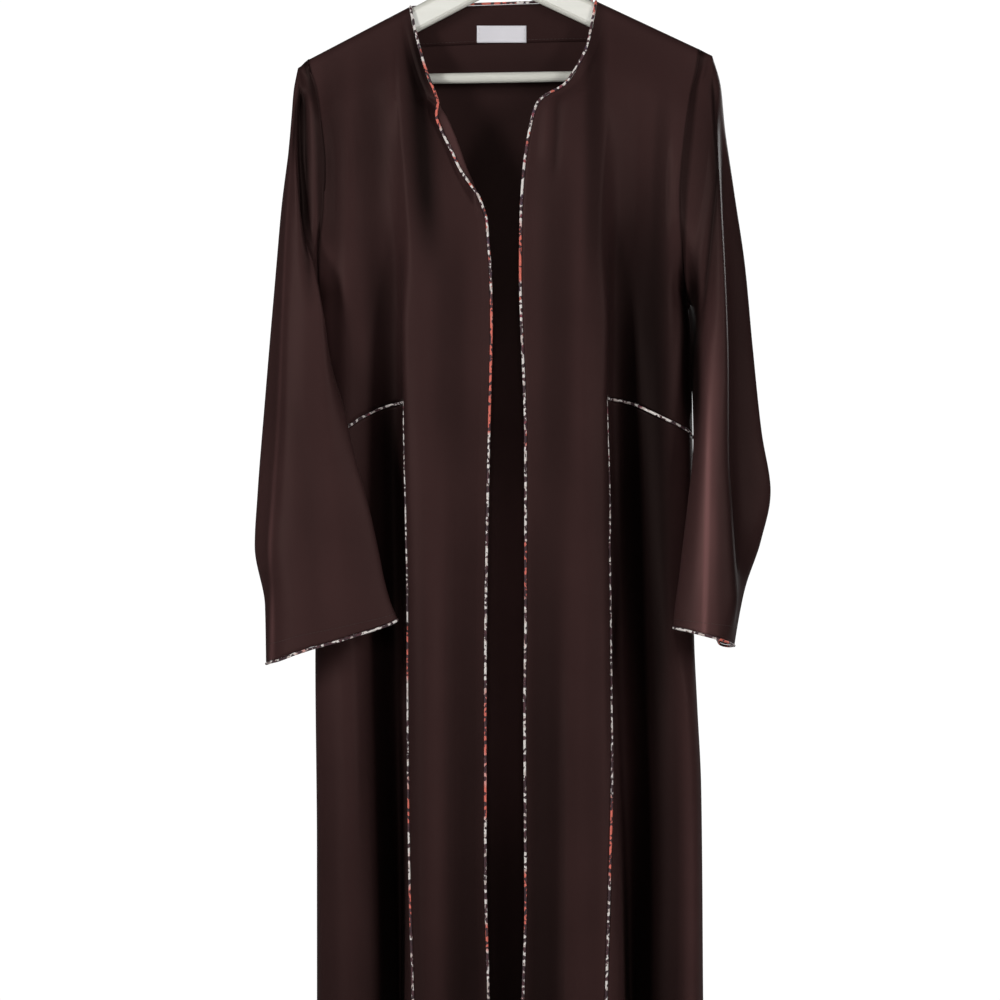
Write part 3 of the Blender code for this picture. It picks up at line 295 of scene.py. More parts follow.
BACK_CREASES = table(
    CREASE_NAMES,
    (-150, 110, -120, 420, 6, 9, -2.0, -0.12), (-96, 60, -70, 360, 4, 8, 1.4, 0),
    (-40, 90, -36, 520, 0, 10, 1.2, 0), (30, 70, 34, 430, 0, 9, -1.2, -0.08), (92, 60, 70, 380, -4, 8, 1.5, 0),
    (146, 110, 118, 430, -6, 9, -2.0, -0.12), (-110, 520, -104, 1420, 0, 8, 1.4, 0),
    (-30, 640, -34, 1420, 3, 7, -1.4, -0.1), (16, 560, 20, 1400, 0, 9, 1.5, 0),
    (88, 600, 92, 1428, -3, 8, -1.6, -0.1), (152, 620, 156, 1420, 0, 7, 1.3, 0), (0, -40, 0, 420, 0, 75, 0, -0.45),
    (0, 420, 0, 900, 0, 34, 0, 0.5), (0, 660, 0, 1900, 0, 34, 0, -0.6),
)
SLEEVE_CREASES = {
    "left": table(
        CREASE_NAMES,
        (211, 20, 213, 180, 0, 4, -0.8, -0.88), (208, 20, 193, 320, 0, 4.5, -7.0, -0.93),
        (205, 30, 202, 200, 0, 3.5, -4.0, -0.9), (213, 60, 246, 860, 2, 2.9, 1.6, 3.5),
        (222, 90, 252, 860, 2, 7, -0.8, -0.4), (182, 330, 150, 640, 4, 8, 1.2, 0.05),
        (206, 380, 184, 700, -3, 9, -1.2, -0.1), (198, 220, 200, 440, 0, 8, 0.8, 0),
        (186, 480, 186, 900, 0, 40, 0, 0.12),
    ),
    "right": table(
        CREASE_NAMES,
        (205, 20, 212, 240, 0, 2.4, -1.2, -0.65), (213, 140, 192, 350, 0, 2.4, -1.2, -0.65),
        (196, 60, 206, 330, 0, 14, 0, -0.2), (216, 150, 186, 780, 0, 8.5, 1.2, 1.4),
        (203, 330, 190, 820, 0, 2.5, 0.7, 0.7), (209, 70, 210, 410, 0, 10, -0.6, -0.5),
        (241, 80, 241, 720, 0, 19, -1.2, -0.78), (236, 130, 236, 720, 0, 15, 0, -0.35),
        (206, 470, 206, 720, 0, 4, 0.8, 0.25), (192, 340, 184, 1000, 0, 18, 0, 0.2),
        (185, 230, 184, 470, 3, 6, 0, -0.95), (190, 330, 176, 620, 3, 8, -0.8, -0.1),
    ),
}
# How a sleeve's creases carry round to its back: their shift, share of height, share of painted shade and highlight,
# and where and how fast the front gives way to the back
BEHIND = {"shift": 7.0, "share": 0.8, "painted_light_share": 0.5, "over": 0.1, "fade": 0.3}
HEAD_CALM = {"flat": 1, "fade": 4.0}
RING_SOFTNESS = {"share": 0.5, "passes": 6, "fade": 10.0}
# Painted shade along the armhole seam: the sleeve's first rows and the front's last columns above the underarm, and
# the share of their colour that is kept
ARMHOLE_LINE = {"rows": 2, "columns": 2, "shade": 0.4}
# Painted shade on the back neck facing, which lies inside the neck: the share of the crepe's colour that it keeps
FACING_PAINTED_SHADE = 0.72
TOP_FOLD = {"until": 330.0, "over": 120.0, "reach": 24.0, "reach_fade": 10.0, "share": 0.9, "passes": 14}
TOP_FOLD_SIDE = {"clear": 22.0, "fade": 8.0}
# Where a front has no creases: along its edge, and round the piped seam from a little above its corner
CALM = {"edge": 3.0, "edge_fade": 9.0, "seam": 5.0, "seam_fade": 8.0, "above": 16.0, "above_fade": 10.0}


def smooth_at(columns, name, where, key="drop"):
    """A column of a table at any drops, on a smooth curve that never overshoots its rows."""
    x = columns[key]
    y = columns[name]
    where = np.clip(np.asarray(where, dtype=float), x[0], x[-1])
    step = np.diff(x)
    slope = np.diff(y) / step
    tangent = np.zeros(len(x))
    tangent[0] = slope[0]
    tangent[-1] = slope[-1]
    for i in range(1, len(x) - 1):
        if slope[i - 1] * slope[i] > 0:
            near = 2 * step[i] + step[i - 1]
            far = step[i] + 2 * step[i - 1]
            tangent[i] = (near + far) / (near / slope[i - 1] + far / slope[i])
    i = np.clip(np.searchsorted(x, where, side="right") - 1, 0, len(x) - 2)
    t = (where - x[i]) / step[i]
    value = y[i] * (1 + 2 * t) * (1 - t) ** 2 + y[i + 1] * t * t * (3 - 2 * t)
    return value + step[i] * (tangent[i] * t * (1 - t) ** 2 + tangent[i + 1] * t * t * (t - 1))


def all_at(columns, names, where, key="drop"):
    return [smooth_at(columns, name, where, key) for name in names.split()]


def ease(t):
    """Zero below 0, one above 1, smooth between."""
    t = np.clip(t, 0.0, 1.0)
    return t * t * (3 - 2 * t)


def mix(a, b, t):
    return a + (b - a) * t


def unit(vectors):
    return vectors / np.linalg.norm(vectors, axis=-1, keepdims=True)


def flowing(points, steps, closed=False):
    """A centripetal curve through points, with the given number of steps on each stretch."""
    points = [np.array(p, dtype=float) for p in points]
    count = len(points)
    out = []
    for i in range(count if closed else count - 1):
        p1 = points[i]
        p2 = points[(i + 1) % count]
        p0 = points[i - 1] if closed or i else 2 * p1 - p2
        p3 = points[(i + 2) % count] if closed or i + 2 < count else 2 * p2 - p1
        pairs = ((p0, p1), (p1, p2), (p2, p3))
        t1, t2, t3 = np.cumsum([max(np.linalg.norm(b - a), TINY) ** 0.5 for a, b in pairs])
        n = steps if isinstance(steps, int) else steps[i]
        t = mix(t1, t2, np.arange(n) / n)[:, None]
        a1 = mix(p0, p1, t / t1)
        a2 = mix(p1, p2, (t - t1) / (t2 - t1))
        a3 = mix(p2, p3, (t - t2) / (t3 - t2))
        b1 = mix(a1, a2, t / t2)
        b2 = mix(a2, a3, (t - t1) / (t3 - t1))
        out.extend(mix(b1, b2, (t - t1) / (t2 - t1)))
    if not closed:
        out.append(points[-1])
    return np.array(out)


def run_along(points):
    """Distance along a polyline at each of its points."""
    return np.concatenate([[0.0], np.cumsum(np.linalg.norm(np.diff(points, axis=0), axis=1))])


def along(points, distances):
    """The points at the given distances along a polyline."""
    run = run_along(points)
    return np.stack([np.interp(distances, run, points[:, k]) for k in range(points.shape[1])], axis=1)


def resampled(points, count):
    return along(points, np.linspace(0, run_along(points)[-1], count))


def shoulder_drop(side, out):
    """Drop of the shoulder line, carried on above the neck point."""
    shape = SHOULDER[side]
    return shape["neck_drop"] + shape["fall"] * (out - shape["neck_out"])


def both_shoulders(right):
    """Drop of the shoulder lines at distances to the right."""
    return np.where(right < 0, shoulder_drop("left", -right), shoulder_drop("right", right))


def drape(depth, below, reach):
    """Depth of cloth that lies over the hanger's arm and hangs free further down."""
    below = np.maximum(below, 0.0)
    rounded = np.sqrt(np.maximum(DRAPE_RADIUS**2 - np.maximum(DRAPE_RADIUS - below, 0.0) ** 2, 0.0))
    return rounded + (depth - DRAPE_RADIUS) * ease(below / reach)


def world(side, out, y, drop):
    """Points in the part's frame, in millimetres, from their out, y and drop."""
    return np.stack([GARMENT_MIDDLE + SIDE_SIGN[side] * out, y, NECK_LEVEL - drop], axis=-1)


# Front panels


def front_section(side, drop):
    """The front's section at a drop as (out, depth) points from the edge to the side, and its marks."""
    edge_out, angle, flap = all_at(EDGE[side], "out angle flap", drop)
    angle = math.radians(angle)
    edge_depth, band, floor, ridge = all_at(DEPTH, "edge band floor ridge", drop)
    fold, past, far, ridge_out, side_out = all_at(FRONT[side], "fold past far ridge side", drop)
    side_depth, roundness = all_at(SIDE, "front round", drop)
    bend = {name: mix(*ends, roundness) for name, ends in SIDE_BEND.items()}

    curl_length = mix(CURL_LENGTH["flat"], CURL_LENGTH["folded"], angle / math.pi)
    heading = 0.0
    curl = [np.array([0.0, 0.0])]
    for _ in range(CURL_STEPS):
        heading += angle / CURL_STEPS
        step = curl_length / CURL_STEPS
        curl.append(curl[-1] + step * np.array([-math.cos(heading), math.sin(heading)]))
    curl.append(curl[-1] + flap * np.array([-math.cos(angle), math.sin(angle)]))
    curl = np.array(curl[::-1])
    curl[:, 0] += edge_out - curl[:, 0].min()
    curl[:, 1] += edge_depth
    root = curl[-1]

    step_depth = band - floor
    hold = min(step_depth / FOLD["full_step"], 1.0)
    width = fold - root[0]
    knots = [root, (mix(root[0], fold, BAND_CREST), band)]
    for before, share, taken, sunk in zip(*FOLD_TURN.values()):
        knots.append((fold - min(before, share * width), band - taken * step_depth - sunk))
    knots += [
        (fold - FOLD["undercut"] * hold, mix(band, floor, FOLD["middle"]) - FOLD["sunk"]),
        (fold + FOLD["foot"], mix(floor, band, FOLD["foot_rise"])),
        (mix(fold, far, FLOOR_MIDDLE), floor),
        (far, mix(floor, ridge, FAR_RISE)),
        (ridge_out, ridge),
        (mix(ridge_out, side_out, bend["middle_out"]), mix(ridge, side_depth, bend["middle_back"])),
        (side_out - bend["end_in"], mix(ridge, side_depth, bend["end_back"])),
        (side_out, side_depth),
    ]
    line = np.concatenate([curl[:-1], flowing(knots, SECTION_STEPS)])
    run = run_along(line)
    marks = {"flap": flap, "curl": flap + curl_length, "side": run[-1]}
    for name, knot in MARKED_KNOTS.items():
        marks[name] = run[len(curl) - 1 + knot * SECTION_STEPS]
    marks["seam"] = marks["fold"] + past
    return line, marks


def front_surface(side):
    """A front's sections down its length, each sampled evenly along the cloth."""
    drops = np.arange(0.0, HEM_DROP + SECTION_GAP, SECTION_GAP)
    places = np.arange(0.0, CLOTH_REACH, CLOTH_STEP)
    sections = [front_section(side, min(drop, HEM_DROP)) for drop in drops]
    form = np.array([along(line, places) for line, _ in sections])
    marks = {name: np.array([m[name] for _, m in sections]) for name in sections[0][1]}
    return {"drops": drops, "form": form, "marks": marks}


def front_point(surface, place, drop):
    """Out and depth at distances along the cloth and drops."""
    form = surface["form"]
    r = np.clip(drop / SECTION_GAP, 0, len(form) - LAST_CELL)
    c = np.clip(place / CLOTH_STEP, 0, form.shape[1] - LAST_CELL)
    r0 = r.astype(int)
    c0 = c.astype(int)
    share = (c - c0)[..., None]
    upper = mix(form[r0, c0], form[r0, c0 + 1], share)
    lower = mix(form[r0 + 1, c0], form[r0 + 1, c0 + 1], share)
    point = mix(upper, lower, (r - r0)[..., None])
    return point[..., 0], point[..., 1]


# Stretches of a front's columns: the mark where each ends, how far before it, the least length, and the steps
STRETCHES = (
    ("flap", 0.0, 0, 4),
    ("curl", 0.0, 0, 12),
    ("seam", 10.0, 0, 26),
    ("seam", 5.0, 0, 2),
    ("seam", PIPING_REACH, 0, 2),
    ("seam", -PIPING_REACH, 0, 1),
    ("seam", -5.0, 0, 2),
    ("foot", 0.0, 12, 12),
    ("far", 0.0, 6, 8),
    ("ridge", 0.0, 6, 6),
    ("side", 0.0, 15, 14),
)
CURL_STRETCHES = 2
SEAM_STRETCH = 5


def first_stretch(side):
    """The first stretch that a front has: an edge that never curls over has no flap and no curl."""
    return 0 if EDGE[side]["angle"].max() > 0 else CURL_STRETCHES


def front_columns(side):
    """The stretch and the share along it of every column, and the last column before the piped seam."""
    columns = [(0, 0.0)]
    before_seam = 0
    for k in range(first_stretch(side), len(STRETCHES)):
        if k == SEAM_STRETCH:
            before_seam = len(columns) - 1
        steps = STRETCHES[k][-1]
        columns += [(k, (n + 1) / steps) for n in range(steps)]
    return columns, before_seam


def place_of(side, surface, columns, drop):
    """Distance along the cloth of each column; the last axis of drop runs over the columns."""
    marks = {name: np.interp(drop, surface["drops"], values) for name, values in surface["marks"].items()}
    ends = [np.zeros_like(drop)]
    for k, (mark, before, least, _) in enumerate(STRETCHES):
        skipped = k < first_stretch(side)
        ends.append(ends[-1] if skipped else np.maximum(marks[mark] - before, ends[-1] + least))
    place = np.zeros_like(drop)
    for c, (k, share) in enumerate(columns):
        place[..., c] = mix(ends[k][..., c], ends[k + 1][..., c], share)
    return place, marks["seam"]


def inset_drop(side, past):
    """Drop of the piped seam on top of the side inset."""
    return smooth_at(INSET_TOP[side], "drop", np.maximum(past, 0.0), "past")


def front_grid(side):
    """Points of a whole front, their out, drop, place and distance past the piped seam, the drop of that seam's
    corner, and the last column and row before it."""
    surface = front_surface(side)
    columns, before_seam = front_columns(side)
    count = len(columns)
    tops = np.full(count, SHOULDER[side]["neck_drop"])
    for _ in range(SETTLING["top"]):
        place, _ = place_of(side, surface, columns, tops)
        out, _ = front_point(surface, place, tops)
        tops = mix(tops, shoulder_drop(side, out), SETTLING["share"])
    corner_drop = float(inset_drop(side, 0.0))
    seam_drop = np.full(count, corner_drop)
    for _ in range(SETTLING["seam"]):
        place, seam = place_of(side, surface, columns, seam_drop)
        seam_drop = inset_drop(side, place - seam)
    length = corner_drop - SHOULDER[side]["neck_drop"]
    upper = np.concatenate([EDGE_ROWS, np.arange(EVEN_FROM, length - CLEAR["above"], UPPER_ROW_GAP)])
    rows = [mix(tops, seam_drop, row / length) for row in upper]
    rows += [seam_drop + side_of * PIPING_REACH * SEAM_SLANT for side_of in (-1, 1)]
    length = HEM_DROP - corner_drop
    lower = np.arange(CLEAR["below"], length - CLEAR["hem"], LOWER_ROW_GAP)
    rows += [mix(seam_drop, HEM_DROP, row / length) for row in lower]
    rows.append(np.full(count, HEM_DROP))
    drop = np.array(rows)
    place, seam = place_of(side, surface, columns, drop)
    away = np.hypot(place - seam, drop - corner_drop)
    push = CORNER_SOFTNESS * INSET_CORNER * np.maximum(1 - away / INSET_CORNER, 0.0) ** 2
    drop = np.minimum(drop + push, HEM_DROP)
    place, seam = place_of(side, surface, columns, drop)
    place = place + push
    out, depth = front_point(surface, place, drop)
    y = -drape(depth, drop - shoulder_drop(side, out), FRONT_DRAPE)
    y[:, -1] -= SHELL_SEAM
    y[0] -= SHELL_SEAM
    return world(side, out, y, drop), out, drop, place, place - seam, corner_drop, before_seam, len(upper)


# Back


def back_top(right):
    """Drop of the back's top edge: the shoulder lines, and between the neck points a nearly straight neck."""
    left, other = SHOULDER["left"], SHOULDER["right"]
    across = (right + left["neck_out"]) / (left["neck_out"] + other["neck_out"])
    level = mix(left["neck_drop"], other["neck_drop"], across) - NECK_RISE * 4 * across * (1 - across)
    return np.where((across > 0) & (across < 1), level, both_shoulders(right))


def back_point(across, drop):
    """Distance to the right and depth of the back at shares across it and drops."""
    left_out, right_out = (smooth_at(FRONT[side], "side", drop) for side in SIDE_SIGN)
    right = mix(-left_out, right_out, across)
    share = np.abs(right - 0.5 * (right_out - left_out)) / (0.5 * (left_out + right_out))
    full = smooth_at(DEPTH, "back", drop)
    for at, width, height, start in zip(*BACK_FOLDS.values()):
        full = full + height * ease((drop - start) / FOLD_GROWTH) * np.exp(-(((right - at) / width) ** 2))
    edge = smooth_at(SIDE, "back", drop)
    depth = edge + (full - edge) * np.maximum(1 - share**BACK_ROUNDING, 0.0) ** 0.5
    return right, drape(depth, drop - both_shoulders(right), BACK_DRAPE)


def back_grid():
    """Points of the back, their distance to the right and drop, and the columns of its two neck points."""
    left_side = FRONT["left"]["side"][0]
    whole = left_side + FRONT["right"]["side"][0]
    neck_left = (left_side - SHOULDER["left"]["neck_out"]) / whole
    neck_right = (left_side + SHOULDER["right"]["neck_out"]) / whole
    first = BACK_COLUMNS["shoulder"]
    last = first + BACK_COLUMNS["neck"]
    crowded = (np.arange(first + 1) / first) ** BACK_COLUMNS["crowding"]
    middle = np.linspace(neck_left, neck_right, last - first, endpoint=False)
    across = np.concatenate([neck_left * crowded[:-1], middle, 1 - (1 - neck_right) * crowded[::-1]])
    tops = np.zeros(len(across))
    for _ in range(SETTLING["top"]):
        tops = back_top(back_point(across, tops)[0])
    falls = np.concatenate([EDGE_ROWS, np.arange(EVEN_FROM, HEM_DROP - CLEAR["back_hem"], BACK_ROW_GAP)])
    drop = np.array([mix(tops, HEM_DROP, fall / HEM_DROP) for fall in falls] + [np.full(len(across), HEM_DROP)])
    right, y = back_point(across, drop)
    for seam in (np.s_[:, 0], np.s_[:, -1], np.s_[0, : first + 1], np.s_[0, last:]):
        y[seam] += SHELL_SEAM
    return world("right", right, y, drop), right, drop, first, last


# Sleeves


def armhole(side, front, back):
    """The armhole's ring from the underarm up the front edge to the shoulder and down the back edge."""
    edges = (front[:, -1], back[:, 0 if side == "left" else -1])
    front_edge, back_edge = (edge[NECK_LEVEL - edge[:, 2] <= ARMHOLE_REACH] for edge in edges)
    up = resampled(front_edge[::-1], FRONT_STEPS + 1)
    down = resampled(back_edge, sum(SLEEVE_STEPS) - FRONT_STEPS + 1)
    return np.concatenate([up, down[1:-1]])


def sleeve_ring(side, row, last):
    """One ring of a sleeve from its table's row, which may lie between two rows."""
    shape = dict(SLEEVE[side], index=np.arange(last + 1, dtype=float))
    inner_drop, outer_drop, *places = all_at(shape, SLEEVE_NAMES, row, "index")
    ring = flowing(zip(places[::2], places[1::2]), SLEEVE_STEPS, closed=True)
    k = np.arange(len(ring))
    behind = 0.5 + 0.5 * (k - FRONT_STEPS) / (len(ring) - FRONT_STEPS)
    turn = np.where(k <= FRONT_STEPS, 0.5 * k / FRONT_STEPS, behind)
    weight = 0.5 - 0.5 * np.cos(2 * math.pi * turn)
    straight = mix(np.sin(math.pi * turn), 1 - np.abs(1 - 2 * turn), CUFF_POINT)
    weight = mix(weight, straight, CUFF_STRAIGHTNESS[side] * ease(2 * row / last - 1))
    drop = mix(inner_drop, outer_drop, weight)
    drop += CUFF_BACK_DIP * np.maximum(-np.sin(2 * math.pi * turn), 0.0) * (row / last) ** 2
    return world(side, ring[:, 0], ring[:, 1], drop)


def sleeve_grid(side, front, back):
    """Rings of a sleeve from the armhole to the cuff."""
    hole = armhole(side, front, back)
    last = len(SLEEVE[side]["inner_drop"]) - 1
    rings = [sleeve_ring(side, last * k / SLEEVE_ROWS, last) for k in range(SLEEVE_ROWS + 1)]
    start = hole + unit(rings[0] - hole) * SHELL_SEAM
    return np.array([mix(start, rings[0], k / SLEEVE_HEAD_ROWS) for k in range(SLEEVE_HEAD_ROWS)] + rings)


# Creases


def outward(grid, tube=False):
    """Unit normals of a grid, on the side given by its columns crossed with its rows."""
    if tube:
        across = np.roll(grid, -1, axis=1) - np.roll(grid, 1, axis=1)
    else:
        across = np.gradient(grid, axis=1)
    normal = np.cross(across, np.gradient(grid, axis=0))
    return normal / np.maximum(np.linalg.norm(normal, axis=2), TINY)[..., None]


def creases(out, drop, rows):
    """Height of soft ridges and troughs at each point of a grid, and the painted shade and highlight along them."""
    height = np.zeros(out.shape)
    painted_light = np.ones(out.shape)
    for top_out, top_drop, low_out, low_drop, bow, width, rise, shade in zip(*rows.values()):
        t = (drop - top_drop) / (low_drop - top_drop)
        line = mix(top_out, low_out, t) + bow * 4 * t * (1 - t)
        fade = ease(t / FADE["top"]) * ease((1 - t) / FADE["low"])
        power = CREASE_POWER if rise else ZONE_POWER
        shape = fade * np.exp(-np.abs((out - line) / width) ** power)
        height += rise * shape * (1 + UNEVENNESS * np.sin(drop / UNEVEN_EVERY + top_out))
        painted_light *= 1 + shade * shape
    return height, painted_light


def softened(grid, weight, passes, tube=False):
    """A grid with its sections smoothed where weight is above zero."""
    for _ in range(passes):
        middle = 0.5 * (np.roll(grid, 1, axis=1) + np.roll(grid, -1, axis=1))
        if not tube:
            middle[:, [0, -1]] = grid[:, [0, -1]]
        grid = mix(grid, middle, weight[..., None])
    return grid


# Shells


def add_object(name, data, look=None):
    thing = bpy.data.objects.new(name, data)
    bpy.context.scene.collection.objects.link(thing)
    if look:
        data.materials.append(look)
    return thing


def add_piece(name, points, faces, look):
    """A smooth piece from points in millimetres."""
    mesh = bpy.data.meshes.new(name)
    mesh.from_pydata((points * MM).tolist(), [], faces)
    mesh.shade_smooth()
    return add_object(name, mesh, look)


def shell(name, grid, look, cells=None, tube=False, painted_light=None):
    """A thin even wall of cloth on a grid of points, which may close round into a tube. It keeps each point's painted
    shade and highlight for its material.
    """
    rows, columns = grid.shape[:2]
    r, c = np.indices((rows - 1, columns if tube else columns - 1)).reshape(2, -1)
    if cells:
        kept = cells(r, c)
        r, c = r[kept], c[kept]
    d = (c + 1) % columns
    faces = np.stack([r * columns + c, r * columns + d, (r + 1) * columns + d, (r + 1) * columns + c], axis=1)
    used, renumbered = np.unique(faces, return_inverse=True)
    thing = add_piece(name, grid.reshape(-1, 3)[used], renumbered.reshape(faces.shape).tolist(), look)
    painted_lights = np.ones(len(used)) if painted_light is None else np.clip(painted_light.reshape(-1)[used], *PAINTED_LIGHT_RANGE)
    thing.data.attributes.new("painted_light", "FLOAT", "POINT").data.foreach_set("value", painted_lights)
    wall = thing.modifiers.new("wall", "SOLIDIFY")
    wall.thickness = SHELL * MM
    wall.offset = 0.0
    return thing


def tangents(points, closed):
    """Unit directions along a polyline at each of its points."""
    ahead = np.roll(points, -1, axis=0) - points
    behind = np.roll(ahead, 1, axis=0)
    if not closed:
        behind[0] = ahead[0]
        ahead[-1] = behind[-1]
    return unit(ahead + behind)


def circles(directions, aside, sides):
    """Circles of radius one, square to the directions."""
    side_way = unit(np.cross(directions, aside))
    up_way = np.cross(side_way, directions)
    turn = (2 * math.pi * np.arange(sides) / sides)[:, None]
    return side_way[:, None] * np.cos(turn) + up_way[:, None] * np.sin(turn)


def add_rods(name, rings, look, closed=False):
    """One piece of round rods, each through its own row of rings. A closed one has no ends."""
    count, each, sides = rings.shape[:3]
    faces = []
    for start in range(0, count * each * sides, each * sides):
        for k in range(each if closed else each - 1):
            a = start + k * sides
            b = start + (k + 1) % each * sides
            faces += [(a + s, a + (s + 1) % sides, b + (s + 1) % sides, b + s) for s in range(sides)]
        if not closed:
            faces.append(tuple(start + s for s in reversed(range(sides))))
            faces.append(tuple(start + (each - 1) * sides + s for s in range(sides)))
    return add_piece(name, rings.reshape(-1, 3), faces, look)


def cord(name, points, look, closed=False):
    """A round cord of piping along points, which may close into a loop."""
    if closed:
        points = np.concatenate([points, points[:1]])
    points = resampled(points, int(run_along(points)[-1] / PIPING["step"]))
    if closed:
        points = points[:-1]
    rings = points[:, None] + circles(tangents(points, closed), PIPING["aside"], PIPING["sides"]) * PIPING["radius"]
    return add_rods(name, rings[None], look, closed)


def beyond(edge, inside, reach, closed=False):
    """Points past an edge of cloth, in its surface and square to the edge."""
    run = tangents(edge, closed)
    direction = edge - inside
    direction -= run * np.sum(direction * run, axis=1)[:, None]
    return edge + unit(direction) * reach


def stitches(name, path, look):
    """A row of short stitches along a path, as one piece."""
    length = run_along(path)[-1]
    count = max(int(length / (STITCH["length"] + STITCH["gap"])), 1)
    starts = (np.arange(count) + STITCH["start"]) * length / count
    centres = np.array([along(path, starts + share * STITCH["length"]) for share, _ in STITCH_SHAPE])
    circle = circles(unit(centres[-1] - centres[0]), STITCH["aside"], STITCH["sides"])
    sizes = [size * STITCH["radius"] for _, size in STITCH_SHAPE]
    rings = np.stack([centre[:, None] + circle * size for centre, size in zip(centres, sizes)], axis=1)
    return add_rods(name, rings, look)


# Materials. Each colour of a ramp has its place on it

CREPE_COLOURS = ((0.30, (0.0375, 0.0176, 0.0170)), (0.72, (0.0460, 0.0215, 0.0207)))
PAINT_COLOURS = ((0.0, (0.70, 0.69, 0.61)), (1.0, (0.82, 0.81, 0.74)))
THREAD_COLOUR = (0.040, 0.024, 0.021)
LABEL_THREAD_COLOUR = (0.62, 0.60, 0.62)
PRINT_COLOURS = (
    (0.00, (0.040, 0.014, 0.020)), (0.22, (0.075, 0.022, 0.030)), (0.36, (0.62, 0.52, 0.48)),
    (0.44, (0.86, 0.80, 0.76)), (0.68, (0.24, 0.05, 0.07)), (0.72, (0.80, 0.73, 0.69)), (0.86, (0.62, 0.14, 0.10)),
    (0.92, (0.06, 0.025, 0.050)),
)
PRINT_CORAL = (0.80, 0.17, 0.12)
CORAL_ZONES = (0.56, 0.60)
# Heights in metres where the print is darkest and where it is full, and the shares of it that are kept there
DARKER_BELOW = (-0.62, -0.36, 0.62, 1.0)
# How far a face looks to the rear where its painted shade and highlight start to fade and where they are faded most,
# and how much of them is faded there
REARWARD = (-0.1, 0.3)
REAR_EVENNESS = 0.9


def feed(node, *ordered, **named):
    """Fills a node's inputs by their place or name, with values, other nodes' outputs, or nodes, which stand for
    their first output. Names in small letters are the node's settings."""
    for name, value in (*named.items(), *enumerate(ordered)):
        if str(name).islower():
            setattr(node, name, value)
            continue
        socket = node.inputs[name if isinstance(name, int) else name.replace("_", " ")]
        if isinstance(value, bpy.types.Node):
            value = value.outputs[0]
        if isinstance(value, bpy.types.NodeSocket):
            node.id_data.links.new(value, socket)
        else:
            socket.default_value = value
    return node


def add(tree, kind, *ordered, **named):
    return feed(tree.nodes.new("ShaderNode" + kind), *ordered, **named)


def ramp(tree, factor, *stops):
    """A colour ramp through stops, each a position and a colour."""
    made = add(tree, "ValToRGB", factor)
    elements = made.color_ramp.elements
    for element, (position, colour) in zip(elements, (stops[0], stops[-1])):
        element.position = position
        element.color = (*colour, 1.0)
    for position, colour in stops[1:-1]:
        elements.new(position).color = (*colour, 1.0)
    return made


def coordinates(tree, kind="Object"):
    return add(tree, "TexCoord").outputs[kind]


def new_look(name):
    """A material, its node tree, and the object's coordinates in it."""
    made = bpy.data.materials.new(name)
    made.use_nodes = True
    return made, made.node_tree, coordinates(made.node_tree)


def finished(look, relief=None, strength=0.0, depth=0.0, **values):
    """The material with its shader's values and the fine relief of its surface."""
    shader = look.node_tree.nodes["Principled BSDF"]
    if relief is not None:
        values["Normal"] = add(look.node_tree, "Bump", Height=relief, Strength=strength, Distance=depth)
    feed(shader, **values)
    return look


def crepe():
    """Dark brown crepe: fine crinkled weave, a soft sheen, slight cloudiness, and painted shade and highlights in its
    colour.
    """
    made, tree, place = new_look("crepe")
    cloud = add(tree, "TexNoise", Vector=place, Scale=9.0, Detail=3.0)
    colour = ramp(tree, cloud, *CREPE_COLOURS)
    # Painted shade and highlight: each point's stored factor scales the colour, less on faces that look to the rear
    painted_light_factor = add(tree, "Attribute", attribute_name="painted_light").outputs["Fac"]
    facing = add(tree, "SeparateXYZ", add(tree, "NewGeometry").outputs["Normal"])
    rearward = add(tree, "MapRange", facing.outputs["Y"], *REARWARD, To_Max=REAR_EVENNESS)
    spared = add(tree, "Mix", Factor=rearward, A=painted_light_factor, B=1.0)
    depth = add(tree, "VectorMath", colour, operation="SCALE", Scale=spared)
    grain = add(tree, "TexNoise", Vector=place, Scale=900.0, Detail=2.0)
    stretch = add(tree, "Mapping", place, Scale=(1.0, 1.0, 0.22))
    slub = add(tree, "TexNoise", Vector=stretch, Scale=140.0, Detail=2.0)
    weave = add(tree, "Math", slub, 0.5, grain, operation="MULTIPLY_ADD")
    shine = {"Specular_IOR_Level": 0.08, "Specular_Tint": (1.0, 0.66, 0.60, 1.0)}
    sheen = {"Sheen_Weight": 0.015, "Sheen_Roughness": 0.4, "Sheen_Tint": (1.0, 0.72, 0.64, 1.0)}
    return finished(made, weave, 0.22, 0.0003, Base_Color=depth, Roughness=0.48, **shine, **sheen)


def printed():
    """Small multicoloured print on the piping's cotton, with coral stretches, and darker down the front."""
    made, tree, place = new_look("printed_cotton")
    spots = add(tree, "TexVoronoi", Vector=place, Scale=330.0, Randomness=1.0)
    apart = add(tree, "SeparateColor", spots.outputs["Color"])
    height = add(tree, "SeparateXYZ", place).outputs["Z"]
    keeps = add(tree, "MapRange", height, *DARKER_BELOW)
    chosen = add(tree, "Math", apart.outputs["Red"], keeps, operation="MULTIPLY")
    colour = ramp(tree, chosen, *PRINT_COLOURS)
    colour.color_ramp.interpolation = "CONSTANT"
    zones = add(tree, "TexNoise", Vector=place, Scale=16.0, Detail=1.0)
    coral_zone = add(tree, "MapRange", zones, *CORAL_ZONES)
    bright = add(tree, "Math", chosen, PRINT_COLOURS[2][0], operation="GREATER_THAN")
    share = add(tree, "Math", coral_zone, bright, operation="MULTIPLY")
    both = add(tree, "MixRGB", share, colour, (*PRINT_CORAL, 1.0))
    weave = add(tree, "TexNoise", Vector=place, Scale=1600.0, Detail=1.0)
    return finished(made, weave, 0.3, 0.0002, Base_Color=both, Roughness=0.62, Sheen_Weight=0.15)


